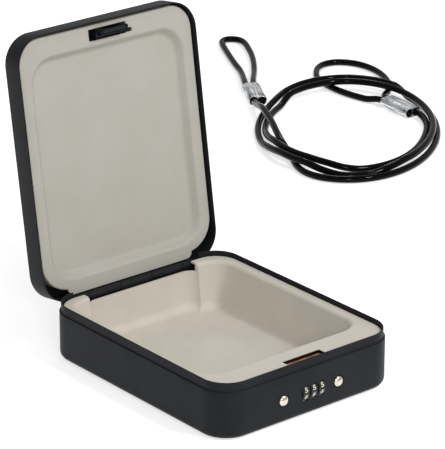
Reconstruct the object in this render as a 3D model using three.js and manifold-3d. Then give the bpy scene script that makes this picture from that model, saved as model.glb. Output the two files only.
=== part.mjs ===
// Portable car safe: a flat pressed-steel box with a hinged lid, a three-dial lock
// with two release buttons, moulded liners and a loose security cable.
// Millimetres. +Z is up, +X runs to the right along the front, the front faces -Y.
// The origin is the middle of the underside.
import * as THREE from 'three';
import { mergeVertices } from 'three/addons/utils/BufferGeometryUtils.js';
import Module from 'manifold-3d';

const wasm = await Module();
wasm.setup();

// Case
const WIDTH = 163;
const DEPTH = 200;
const BASE_HEIGHT = 36.2;      // underside to the shoulder that the lid comes down to
const LID_HEIGHT = 18.6;       // edge of the lid's skirt to its top
const CORNER_R = 22;           // upright corners, outside
const FLOOR_R = 5;             // bottom edge of the tub
const LID_EDGE_R = 2.6;        // top edge of the lid
const SHEET = 1;               // steel thickness of tub and lid
const NECK_HEIGHT = 6.7;       // joggled neck above the shoulder
const NECK_INSET = 1.3;
const SHOULDER_R = 0.6;
const CLEAR = 0.3;             // standing gap between neighbouring pieces
const HAIR = 0.03;
const OVERRUN = 4;             // how far a cutting solid runs past the face it cuts

// Hinge
const HINGE_SET_IN = 0.2;      // axis in from the back face
const HINGE_DROP = 0.9;        // axis below the shoulder
const HINGE_PAST_CORNER = 0.8; // from a corner's round to the end of the hinge
const BARREL_R = 2.75;
const PIN_R = 1.2;
const LEAF = 1.1;              // leaf thickness
const LEAF_HEIGHT = 15;        // axis to the free edge of a leaf
const LID_OPEN_DEG = 98.7;     // opened against its stop, as it stands at rest
const END_KNUCKLE = 14.7;
const KNUCKLES = 5;
const RIVETS = 3;
const RIVET_FROM_END = 14.7;    // end of the hinge to the first rivet
const RIVET_R = 1.6;
const RIVET_HEAD_R = 2.8;
const RIVET_HEAD = 0.9;
const RIVET_FROM_AXIS = 9.5;

// Liners
const LINER = 1.5;             // moulded wall
const RIM_BELOW_NECK = 3.7;    // rim of the base liner below the top of the neck
const RIM_SIDE = 8.4;          // flat rim beside the pocket
const LEDGE = 26.4;            // flat ledge in front of the pocket
const RIM_BACK = 8.2;
const POCKET_R = 17;
const POCKET_EDGE_R = 3.5;
const POCKET_FLOOR_R = 7;
const POCKET_DRAFT_DEG = 8;
const BAY_HALF = 52.5;         // bay that the pocket has in front of the hinge
const BAY_R = 5;
const BAY_EDGE_R = 2;
const BAY_LENGTH = 40;
const BAY_WALL_GAP = 1.8;      // liner edge to the bay's wall
const BAY_LOW = 6.2;           // how far the bay's wall stops below the rim
const LINERS_APART = 0.4;      // between the two liners when the lid is shut
const LID_RECESS_SIDE = 10.5;
const LID_RECESS_FRONT = 17;
const LID_RECESS_BACK = 12.5;
const LID_RECESS_DEEP = 6;
const LID_RECESS_R = 19;
const LID_RECESS_EDGE_R = 3;
const LID_RECESS_FLOOR_R = 4.5;
const LID_RECESS_DRAFT_DEG = 38;
const LID_LINER_BACK_R = 24;
const LID_LINER_BACK_IN = 7.5; // its back edge in from the back face, beside the hinge
const LID_LINER_EDGE_R = 1.2;

// Lock
const LOCK_X = 1.9;            // middle of the dials and of the latch slots
const DIAL_BELOW_FRAME = 19.8; // top of the lock frame to the dials' axis
const DIALS = 3;
const DIAL_PITCH = 7.35;
const DIAL_R = 8.5;
const DIAL_WIDTH = 5.2;
const DIAL_PROUD = 1.2;        // how far a dial stands out of the front
const DIAL_DIGITS = 10;
const DIAL_GROOVE = 0.5;
const DIAL_GROOVE_HALF_DEG = 4;
const DIAL_SLOT_WIDTH = 6;
const DIAL_SLOT_HEIGHT = 12.4;
const DIAL_SLOT_R = 1;
const SLEEVE_R = 4.6;
const SLEEVE_DISC_R = 6.2;
const SLEEVE_DISC = 1.3;
const SLEEVE_NOTCH_DEG = 24;
const SLEEVE_NOTCH = 1.5;
const SHAFT_R = 2;
const SPACER_R = 3.4;
const FRAME_FROM_GUIDE = 0.55; // right button's guide to the frame's cheek
const FRAME_TOP_HALF = 20;     // its top plate
const FRAME = 1.2;
const FRAME_BACK_Y = 24;       // front face of the case to the back of the lock frame
const FRAME_BACK_HALF = 30;
const FRAME_BACK_LOW = 11;     // lower edge of the frame's back plate above the underside
const FRAME_FRONT = 1.8;
const FRAME_FOOT = 8.5;
const FRAME_FOOT_DEPTH = 10;
const FRAME_BELOW_LEDGE = 0.3;
const STUD_R = 1.5;
const STUD_HEIGHT = 4.6;
const NUT_R = 3.2;
const NUT = 2.3;
const FENCE_HEIGHT = 4;
const FENCE = 1.5;
const FENCE_BACK = 9.3;        // dial axis to the front of the fence bar
const DETENT = 0.8;
const DETENT_BACK = 12.6;      // dial axis to the front of the detent's foot
const DETENT_RAISED = 4.3;     // frame's feet to the foot of the detent spring
const DETENT_FOOT = 4;
const DETENT_FINGER = 3;

// Release buttons and their latch hooks
const BUTTON_X = 25.35;        // either side of the middle
const BUTTON_R = 4;
const BUTTON_PROUD = 2;
const BUTTON_DOME_STEPS = 6;
const BUTTON_HOLE_R = 4.7;
const BUTTON_TRAVEL = 3.2;
const BUTTON_BODY = 7.6;       // straight part of the button, behind the front face
const GUIDE_WALL = 1.6;
const GUIDE_LENGTH = 5;
const STEM_R = 1.6;
const STEM_LENGTH = 14;
const HOOK = 2.5;              // thickness of a latch hook
const HOOK_DEPTH = 3.4;
const HOOK_APART = 6;          // hooks either side of the dials' middle
const HOOK_NOSE = 3.5;
const HOOK_NOSE_TIP = 0.5;
const HOOK_NOSE_SLOPE = 1.9;
const HOOK_BEHIND_ROD = 0.8;
const HOOK_BAR_LOW = 9.4;      // top of the lock frame to the underside of a hook's cross bar
const HOOK_DROP_LOW = 3.2;     // how far the drop plate reaches below the button's axis
const HOOK_DROP = 5;
const SPRING_R = 2.9;
const SPRING_WIRE = 0.7;
const SPRING_CURLS = 5;
const SPRING_STEPS = 8;
const SPRING_SIDES = 5;

// Latch slots and striker
const SLOT_WIDTH = 34.4;
const SLOT_FRONT = 5.8;        // front face of the case to the slot's front edge
const SLOT_DEPTH = 8.9;
const ROD_R = 1.5;
const ROD_BACK = 7.8;          // front face of the case to the striker rod's axis
const ROD_BELOW_SHOULDER = 3.9;
const STRIKER = 1.2;
const STRIKER_LEFT = 10.4;     // striker's cheeks, left and right of the dials' middle
const STRIKER_RIGHT = 12.4;
const STRIKER_TONGUE = 3.6;    // front to back, where a cheek stands out of the slot
const STRIKER_ROUND_ROD = 1.9;
const ROD_END_R = 0.8;         // riveted ends of the rod, through the cheeks
const ROD_HEAD_R = 1.3;
const ROD_HEAD = 0.5;
const STRIKER_WEB_DEPTH = 11;
const STRIKER_EAR = 8;
const PIN_TAIL = 3.6;          // how far the cross pin runs past the slot
const CROSS_PIN_R = 1;
const CROSS_PIN_BACK = 12.7;   // front face of the case to the cross pin's axis
const CROSS_PIN_DEEP = 1.6;    // border of the lid liner to the cross pin's axis

// Code lever
const LEVER_X = 9;
const LEVER_Z = 22;
const LEVER_TRAVEL = 4;
const LEVER_TAB = 3;
const LEVER_PLATE = 12;
const LEVER_PLATE_HEIGHT = 7;
const LEVER_THICK = 1.2;
const LEVER_REACH = 8.6;

// Security cable: steel rope in a smooth sleeve, lying in a ring of nearly three turns, with an
// eye at either end that a ferrule closes. Places are in the plane that the case stands on.
const CABLE = 6;
const CABLE_SIDES = 8;
const CABLE_REST = 0.05;       // the sleeve stands this much clear of the floor
const RING_X = 398.7;
const RING_Y = 308.4;
const RING_SHORT = 78.9;       // half axes of the outer turn's middle line
const RING_LONG = 120.8;
const RING_TURN_DEG = -42.7;
const RING_PITCH_SHORT = 6.8;  // from one turn to the next one inside it, along either half axis
const RING_PITCH_LONG = 11;
const RING_FROM_DEG = 255;
const RING_TO_DEG = 1065;
const RING_STEP_DEG = 15;
const RING_CLIMB = 6.7;        // rise of the turns where they lie on other strands
// Share of a pitch that the turns lie inside the outer oval, and share of the climb, by degrees of turn
const RING_IN_SHARES = [[534, 0], [618, 0.9], [675, 0.63], [689, 0.65], [728, 0.54], [809, 0.94],
  [861, 1.04], [891, 0.99], [900, 1.01], [976, 2.06], [999, 2.09], [1132, 1.31]];
const RING_UP_SHARES = [
  [412, 0], [419, 1], [486, 1], [527, 0], [564, 0], [575, 1], [599, 1], [628, 0], [652, 0],
  [666, 0.85], [748, 0.85], [778, 1], [856, 1], [869, 0], [913, 0], [917, 1], [961, 1], [1006, 0]];
const FERRULE_LENGTH = 38;
const FERRULE_WIDTH = 17;
const FERRULE_HEIGHT = 10.4;
const FERRULE_STRANDS = 7.5;   // between the middles of its two strands
const FERRULE_A = [392.7, 428.1, 0.506, 0.862];    // middle, and the way its eye points
const FERRULE_B = [471.6, 319.5, 0.092, 0.996];
const EYE_A = [
  [438.8, 483.2], [452.9, 500.8], [465.5, 518.7], [475.3, 535], [481.9, 547.5], [484.8, 556.5],
  [483.2, 564.2], [477.2, 568.9], [469.6, 567], [463.2, 558.8], [455.2, 544.5], [445.6, 526.3],
  [436.3, 508], [427.2, 489.3]];
// The lead climbs over two turns beside the ferrule, and runs under them again further on
const LEAD = [[359, 374.8, 12.4], [345.3, 348.2, 11.7], [333.2, 326.2, 9.7], [327.6, 314.5, 7.9],
  [321.6, 298.5, 4.3], [315, 285.5], [305.7, 268.1], [301.9, 252.7]];
const TAIL = [[455.2, 266.8], [465.6, 279.2, 3.5], [473, 294.3, 4.6]];
const EYE_B = [[477.6, 344, 4.6], [484, 353.5], [495, 361], [505, 370], [514, 382], [521, 396],
  [525.5, 411], [526.5, 427], [522.5, 442], [513.5, 452], [501, 455], [489, 450.5], [478.5, 441],
  [469.5, 428.5], [464.5, 413], [462.2, 396], [462.5, 378], [465.5, 360]];

// Counts of faces
const CORNER_STEPS = 6;
const EDGE_STEPS = 3;
const ROUND = 24;
const SMALL_ROUND = 16;

// Derived places
const HALF_W = WIDTH / 2;
const HALF_D = DEPTH / 2;
const NECK_TOP = BASE_HEIGHT + NECK_HEIGHT;
const LID_LOW = BASE_HEIGHT + CLEAR;
const LID_TOP = LID_LOW + LID_HEIGHT;
const HINGE_Y = HALF_D - HINGE_SET_IN;
const HINGE_Z = BASE_HEIGHT - HINGE_DROP;
const WALL_IN = HALF_D - SHEET;
const NECK_IN = NECK_INSET + SHEET;              // outside of the case to the neck's inside
const LINER_IN = NECK_IN + CLEAR;
const RIM_Z = NECK_TOP - RIM_BELOW_NECK;
const HINGE_LENGTH = WIDTH - 2 * (CORNER_R + HINGE_PAST_CORNER);
const RIVET_PITCH = (HINGE_LENGTH - 2 * RIVET_FROM_END) / (RIVETS - 1);
const LINER_BACK = HINGE_Y - BARREL_R - CLEAR;
const LINER_FLOOR = SHEET + CLEAR + LINER;
const BORDER_Z = RIM_Z + LINERS_APART;
const LID_INSIDE = LID_TOP - SHEET;
const FRONT = -HALF_D;
const DIAL_Y = FRONT - DIAL_PROUD + DIAL_R;
const LEDGE_UNDER = RIM_Z - LINER;
const FRAME_TOP = LEDGE_UNDER - FRAME_BELOW_LEDGE;
const FRAME_BACK = FRONT + FRAME_BACK_Y;
const FRAME_HALF = BUTTON_X - LOCK_X - BUTTON_R - GUIDE_WALL - CLEAR - FRAME_FROM_GUIDE;
const DIAL_Z = FRAME_TOP - DIAL_BELOW_FRAME;
const HOOK_BAR_Z = FRAME_TOP - HOOK_BAR_LOW;
const FRAME_FOOT_Z = SHEET + CLEAR;
const ROD_Y = FRONT + ROD_BACK;
const ROD_Z = BASE_HEIGHT - ROD_BELOW_SHOULDER;
const HOOK_Y = ROD_Y + ROD_R + HOOK_BEHIND_ROD;  // front of a hook's arm
const STRIKER_STUD_Y = ROD_Y - STRIKER_TONGUE / 2 + STRIKER_WEB_DEPTH / 2;
const RAD = Math.PI / 180;

// Materials
const steelBlack = { color: 0x2b2c30, roughness: 0.55, metalness: 0.3 };
const linerGrey = { color: 0xb6b3aa, roughness: 0.8, metalness: 0 };
const linerWarm = { color: 0xd0cac0, roughness: 0.8, metalness: 0 };
const zincBronze = { color: 0x6a4526, roughness: 0.4, metalness: 0.8 };
const zinc = { color: 0xb9bbb8, roughness: 0.35, metalness: 0.9 };
const nickel = { color: 0xe4ded6, roughness: 0.25, metalness: 0.9 };
const dialBlack = { color: 0x17181a, roughness: 0.45, metalness: 0 };
const acetal = { color: 0xe8e6df, roughness: 0.6, metalness: 0 };
const cableBlack = { color: 0x101113, roughness: 0.2, metalness: 0 };
const aluminium = { color: 0xc9cbcc, roughness: 0.3, metalness: 0.9 };
const springSteel = { color: 0x8c8f92, roughness: 0.3, metalness: 0.9 };

const safe = new THREE.Group();
const lid = new THREE.Group();
lid.position.set(0, HINGE_Y, HINGE_Z);
lid.rotation.x = -LID_OPEN_DEG * RAD;
safe.add(lid);

function piece(parent, name, geometry, look) {
  const mesh = new THREE.Mesh(geometry, new THREE.MeshStandardMaterial(look));
  mesh.name = name;
  parent.add(mesh);
  return mesh;
}

// A closed three.js geometry as a manifold solid, and back
function solid(geometry) {
  const bare = geometry.clone();
  bare.deleteAttribute('normal');
  bare.deleteAttribute('uv');
  const merged = mergeVertices(bare);
  return new wasm.Manifold(new wasm.Mesh({
    numProp: 3,
    vertProperties: new Float32Array(merged.attributes.position.array),
    triVerts: new Uint32Array(merged.index.array),
  }));
}

function geometryOf(body) {
  const mesh = body.getMesh();
  const geometry = new THREE.BufferGeometry();
  geometry.setAttribute('position', new THREE.BufferAttribute(new Float32Array(mesh.vertProperties), 3));
  geometry.setIndex(new THREE.BufferAttribute(new Uint32Array(mesh.triVerts), 1));
  geometry.computeVertexNormals();
  return geometry;
}

// A box between two corners
function box(x0, x1, y0, y1, z0, z1) {
  const geometry = new THREE.BoxGeometry(x1 - x0, y1 - y0, z1 - z0);
  geometry.translate((x0 + x1) / 2, (y0 + y1) / 2, (z0 + z1) / 2);
  return solid(geometry);
}

// A cylinder from one height to another along X, Y or Z, about a line through (a, b)
function cylinder(axis, r, from, to, a, b, sides = ROUND) {
  const geometry = new THREE.CylinderGeometry(r, r, to - from, sides);
  geometry.translate(0, (from + to) / 2, 0);
  if (axis === 'x') {
    geometry.rotateZ(-Math.PI / 2);
    geometry.translate(0, a, b);
  } else if (axis === 'y') {
    geometry.translate(a, 0, b);
  } else {
    geometry.rotateX(Math.PI / 2);
    geometry.translate(a, b, 0);
  }
  return solid(geometry);
}

// A flat outline in Y and Z, thickened along X from x0 to x1
function plateX(points, x0, x1) {
  const shape = new THREE.Shape(points.map(([y, z]) => new THREE.Vector2(y, z)));
  const geometry = new THREE.ExtrudeGeometry(shape, { depth: x1 - x0, bevelEnabled: false });
  geometry.rotateY(Math.PI / 2);
  geometry.rotateX(Math.PI / 2);
  geometry.translate(x0, 0, 0);
  return solid(geometry);
}

// The points of a rounded rectangle, anticlockwise; the back corners may have a radius of their own
function outline(x0, x1, y0, y1, r, back = r) {
  const corners = [[x1, y0, -1, 1, r, -90], [x1, y1, -1, -1, back, 0],
    [x0, y1, 1, -1, back, 90], [x0, y0, 1, 1, r, 180]];
  const points = [];
  for (const [x, y, sx, sy, radius, start] of corners) {
    for (let k = 0; k <= CORNER_STEPS; k += 1) {
      const angle = (start + 90 * k / CORNER_STEPS) * RAD;
      points.push([x + sx * radius + radius * Math.cos(angle), y + sy * radius + radius * Math.sin(angle)]);
    }
  }
  return points;
}

// A closed skin through rings of like points, [z, points] from the lowest to the highest
function loft(rings) {
  const n = rings[0][1].length;
  const position = [];
  const index = [];
  for (const [z, points] of rings) {
    for (const [x, y] of points) position.push(x, y, z);
  }
  for (let ring = 0; ring < rings.length - 1; ring += 1) {
    for (let k = 0; k < n; k += 1) {
      const a = ring * n + k;
      const b = ring * n + (k + 1) % n;
      index.push(a, b, b + n, a, b + n, a + n);
    }
  }
  for (const [ring, up] of [[0, false], [rings.length - 1, true]]) {
    const [z, points] = rings[ring];
    const middle = position.length / 3;
    position.push(points.reduce((s, p) => s + p[0], 0) / n, points.reduce((s, p) => s + p[1], 0) / n, z);
    for (let k = 0; k < n; k += 1) {
      const a = ring * n + k;
      const b = ring * n + (k + 1) % n;
      if (up) index.push(middle, a, b);
      else index.push(middle, b, a);
    }
  }
  const geometry = new THREE.BufferGeometry();
  geometry.setAttribute('position', new THREE.BufferAttribute(new Float32Array(position), 3));
  geometry.setIndex(index);
  return solid(geometry);
}

// The case's outline, brought in all round
const caseOutline = (inset) => outline(-HALF_W + inset, HALF_W - inset, FRONT + inset, HALF_D - inset,
  CORNER_R - inset);

// A pocket pressed into a flat plate: a rounded edge, a drafted wall and a rounded floor. The rings
// follow its surface, or the surface LINER further out. Its outline is that of its wall at the top.
function pocket(bounds, top, floor, { edge, foot, draft, r, back = r }, out) {
  const d = draft * RAD;
  const wall = (top - edge - floor - foot + (edge + foot) * Math.sin(d)) / Math.cos(d);
  const footS = (edge + foot) * Math.cos(d) + wall * Math.sin(d) - edge;
  const profile = [];
  for (let k = 0; k <= EDGE_STEPS; k += 1) {
    const a = (90 - draft) * RAD * k / EDGE_STEPS + d;
    const turn = Math.PI / 2 - a + d;
    profile.push([footS - (foot + out) * Math.cos(turn), floor + foot - (foot + out) * Math.sin(turn)]);
  }
  for (let k = 0; k <= EDGE_STEPS; k += 1) {
    const a = d + (Math.PI / 2 - d) * k / EDGE_STEPS;
    profile.push([(edge - out) * Math.cos(a) - edge, top - edge + (edge - out) * Math.sin(a)]);
  }
  // the last ring stands a hair off the plate's own faces, so that no two skins share a plane
  profile[profile.length - 1][1] -= HAIR;
  profile.push([-edge, out === 0 ? top + OVERRUN : top - out / 2]);
  const [x0, x1, y0, y1] = bounds;
  return loft(profile.map(([s, z]) => [z, outline(x0 + s, x1 - s, y0 + s, y1 - s, r - s, back - s)]));
}

// Base tub: floor, walls, shoulder and neck in one pressing
{
  const outside = [];
  for (let k = 0; k <= EDGE_STEPS + 1; k += 1) {
    const a = Math.PI / 2 * k / (EDGE_STEPS + 1);
    outside.push([FLOOR_R * (1 - Math.cos(a)), caseOutline(FLOOR_R * (1 - Math.sin(a)))]);
  }
  outside.push([BASE_HEIGHT - SHOULDER_R, caseOutline(0)], [BASE_HEIGHT, caseOutline(SHOULDER_R)],
    [BASE_HEIGHT, caseOutline(NECK_INSET)], [NECK_TOP, caseOutline(NECK_INSET)]);
  const inner = FLOOR_R - SHEET;
  const inside = [];
  for (let k = 0; k <= EDGE_STEPS + 1; k += 1) {
    const a = Math.PI / 2 * k / (EDGE_STEPS + 1);
    inside.push([SHEET + inner * (1 - Math.cos(a)), caseOutline(SHEET + inner * (1 - Math.sin(a)))]);
  }
  const joggle = BASE_HEIGHT - SHEET;
  inside.push([joggle - SHOULDER_R, caseOutline(SHEET)], [joggle, caseOutline(SHEET + SHOULDER_R)],
    [joggle, caseOutline(NECK_IN)], [NECK_TOP + OVERRUN, caseOutline(NECK_IN)]);
  let tub = loft(outside).subtract(loft(inside));
  // gap in the back wall for the hinge barrel
  const cut = HINGE_LENGTH / 2 + CLEAR * 2;
  tub = tub.subtract(box(-cut, cut, WALL_IN - OVERRUN, HALF_D + OVERRUN,
    HINGE_Z - BARREL_R - CLEAR, NECK_TOP + OVERRUN));
  // dial slots
  for (let n = 0; n < DIALS; n += 1) {
    const x = LOCK_X + (n - (DIALS - 1) / 2) * DIAL_PITCH;
    tub = tub.subtract(box(x - DIAL_SLOT_WIDTH / 2, x + DIAL_SLOT_WIDTH / 2,
      FRONT - OVERRUN, FRONT + SHEET * 2, DIAL_Z - DIAL_SLOT_HEIGHT / 2, DIAL_Z + DIAL_SLOT_HEIGHT / 2));
  }
  for (const side of [-1, 1]) {
    tub = tub.subtract(cylinder('y', BUTTON_HOLE_R, FRONT - OVERRUN, FRONT + SHEET * 2,
      side * BUTTON_X, DIAL_Z));
    // stud welded to the floor for the lock frame
    tub = tub.add(cylinder('z', STUD_R, SHEET / 2, FRAME_FOOT_Z + STUD_HEIGHT,
      LOCK_X + side * (FRAME_HALF + FRAME_FOOT / 2), FRAME_BACK - FRAME_FOOT_DEPTH / 2, SMALL_ROUND));
  }
  // rivet holes of the base hinge leaf
  for (let n = 0; n < RIVETS; n += 1) {
    tub = tub.subtract(cylinder('y', RIVET_R + CLEAR, WALL_IN - OVERRUN, HALF_D + OVERRUN,
      (n - (RIVETS - 1) / 2) * RIVET_PITCH, HINGE_Z - RIVET_FROM_AXIS, SMALL_ROUND));
  }
  piece(safe, 'base_shell', geometryOf(tub), steelBlack);
}

// Hinge: two leaves whose knuckles are wrapped round one pin
const knuckleEnds = [-HINGE_LENGTH / 2];
for (let n = 0; n <= KNUCKLES - 2; n += 1) {
  knuckleEnds.push(-HINGE_LENGTH / 2 + END_KNUCKLE
    + n * (HINGE_LENGTH - 2 * END_KNUCKLE) / (KNUCKLES - 2));
}
knuckleEnds.push(HINGE_LENGTH / 2);
const LEAF_Y = WALL_IN - CLEAR - LEAF;           // front of both leaves when the lid is shut

// up is 1 for the lid's leaf and -1 for the base's; heights are measured from the pin's axis
function hingeLeaf(up, own) {
  const y = LEAF_Y - HINGE_Y;
  const low = Math.min(0, up * LEAF_HEIGHT);
  const high = Math.max(0, up * LEAF_HEIGHT);
  let leaf = box(knuckleEnds[0] + CLEAR, knuckleEnds[KNUCKLES] - CLEAR, y, y + LEAF, low, high);
  for (let n = 0; n < KNUCKLES; n += 1) {
    const x0 = knuckleEnds[n] + (n > 0 ? CLEAR / 2 : 0);
    const x1 = knuckleEnds[n + 1] - (n < KNUCKLES - 1 ? CLEAR / 2 : 0);
    if (n % 2 === own) {
      leaf = leaf.add(cylinder('x', BARREL_R, x0, x1, 0, 0));
    } else {
      const reach = BARREL_R + CLEAR;
      leaf = leaf.subtract(box(x0 - CLEAR, x1 + CLEAR, -reach, reach, -reach, reach));
    }
  }
  leaf = leaf.subtract(cylinder('x', PIN_R + CLEAR, knuckleEnds[0] - OVERRUN,
    knuckleEnds[KNUCKLES] + OVERRUN, 0, 0, SMALL_ROUND));
  for (let n = 0; n < RIVETS; n += 1) {
    leaf = leaf.subtract(cylinder('y', RIVET_R + CLEAR, y - OVERRUN, y + LEAF + OVERRUN,
      (n - (RIVETS - 1) / 2) * RIVET_PITCH, up * RIVET_FROM_AXIS, SMALL_ROUND));
  }
  return leaf;
}

// A rivet through leaf and wall, with a head either side; y is the front of the leaf
function hingeRivet(x, z, y) {
  const grip = LEAF + 2 * CLEAR + SHEET;
  return cylinder('y', RIVET_R, y - CLEAR - RIVET_HEAD / 2, y + grip + CLEAR + RIVET_HEAD / 2,
    x, z, SMALL_ROUND)
    .add(cylinder('y', RIVET_HEAD_R, y - CLEAR - RIVET_HEAD, y - CLEAR, x, z, SMALL_ROUND))
    .add(cylinder('y', RIVET_HEAD_R, y + grip, y + grip + RIVET_HEAD, x, z, SMALL_ROUND));
}

{
  const baseLeaf = geometryOf(hingeLeaf(-1, 0));
  baseLeaf.translate(0, HINGE_Y, HINGE_Z);
  piece(safe, 'hinge_leaf_base', baseLeaf, steelBlack);
  piece(lid, 'hinge_leaf_lid', geometryOf(hingeLeaf(1, 1)), steelBlack);
  piece(safe, 'hinge_pin', geometryOf(cylinder('x', PIN_R, -HINGE_LENGTH / 2, HINGE_LENGTH / 2,
    HINGE_Y, HINGE_Z, SMALL_ROUND)), zinc);
  for (let n = 0; n < RIVETS; n += 1) {
    const x = (n - (RIVETS - 1) / 2) * RIVET_PITCH;
    piece(safe, `base_hinge_rivet_${n + 1}`,
      geometryOf(hingeRivet(x, HINGE_Z - RIVET_FROM_AXIS, LEAF_Y)), steelBlack);
    piece(lid, `lid_hinge_rivet_${n + 1}`,
      geometryOf(hingeRivet(x, RIVET_FROM_AXIS, LEAF_Y - HINGE_Y)), steelBlack);
  }
}

// Base liner: a moulded tray with a wide front ledge, and a bay in front of the hinge
const slotX0 = LOCK_X - SLOT_WIDTH / 2;
const slotX1 = LOCK_X + SLOT_WIDTH / 2;
const slotY0 = FRONT + SLOT_FRONT;
const slotY1 = slotY0 + SLOT_DEPTH;
{
  const rim = outline(-HALF_W + LINER_IN, HALF_W - LINER_IN, FRONT + LINER_IN, LINER_BACK,
    CORNER_R - LINER_IN);
  const bounds = [-HALF_W + LINER_IN + RIM_SIDE, HALF_W - LINER_IN - RIM_SIDE,
    FRONT + LINER_IN + LEDGE, LINER_BACK - RIM_BACK];
  const main = { edge: POCKET_EDGE_R, foot: POCKET_FLOOR_R, draft: POCKET_DRAFT_DEG, r: POCKET_R };
  const bay = {
    edge: BAY_EDGE_R, foot: POCKET_FLOOR_R, draft: POCKET_DRAFT_DEG / 2, r: POCKET_FLOOR_R + BAY_R,
  };
  const bayBounds = [-BAY_HALF, BAY_HALF, bounds[3] - BAY_LENGTH, LINER_BACK - BAY_WALL_GAP];
  let tray = loft([[LEDGE_UNDER, rim], [RIM_Z, rim]])
    .add(pocket(bounds, RIM_Z, LINER_FLOOR, main, LINER))
    .add(pocket(bayBounds, RIM_Z, LINER_FLOOR, bay, LINER))
    .subtract(pocket(bounds, RIM_Z, LINER_FLOOR, main, 0))
    .subtract(pocket(bayBounds, RIM_Z, LINER_FLOOR, bay, 0));
  // the bay's back wall stops short below the hinge barrel
  const low = BAY_HALF - BAY_EDGE_R;
  tray = tray.subtract(box(-low, low, bounds[3], LINER_BACK + OVERRUN, RIM_Z - BAY_LOW, RIM_Z + OVERRUN));
  // whatever stands behind the rim's own back edge goes
  tray = tray.subtract(box(-HALF_W, HALF_W, LINER_BACK, HALF_D + OVERRUN, 0, NECK_TOP + OVERRUN));
  // latch slot in the ledge, and the code lever's slot in the front wall
  tray = tray.subtract(box(slotX0, slotX1, slotY0, slotY1, LEDGE_UNDER - LINER, RIM_Z + OVERRUN));
  tray = tray.subtract(box(LEVER_X - LEVER_TAB / 2 - CLEAR * 2,
    LEVER_X + LEVER_TAB / 2 + LEVER_TRAVEL + CLEAR * 2, FRAME_BACK, FRAME_BACK + LEVER_REACH + OVERRUN,
    LEVER_Z - LEVER_TAB / 2 - CLEAR * 2, LEVER_Z + LEVER_TAB / 2 + CLEAR * 2));
  piece(safe, 'base_liner', geometryOf(tray), linerWarm);
}

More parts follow.
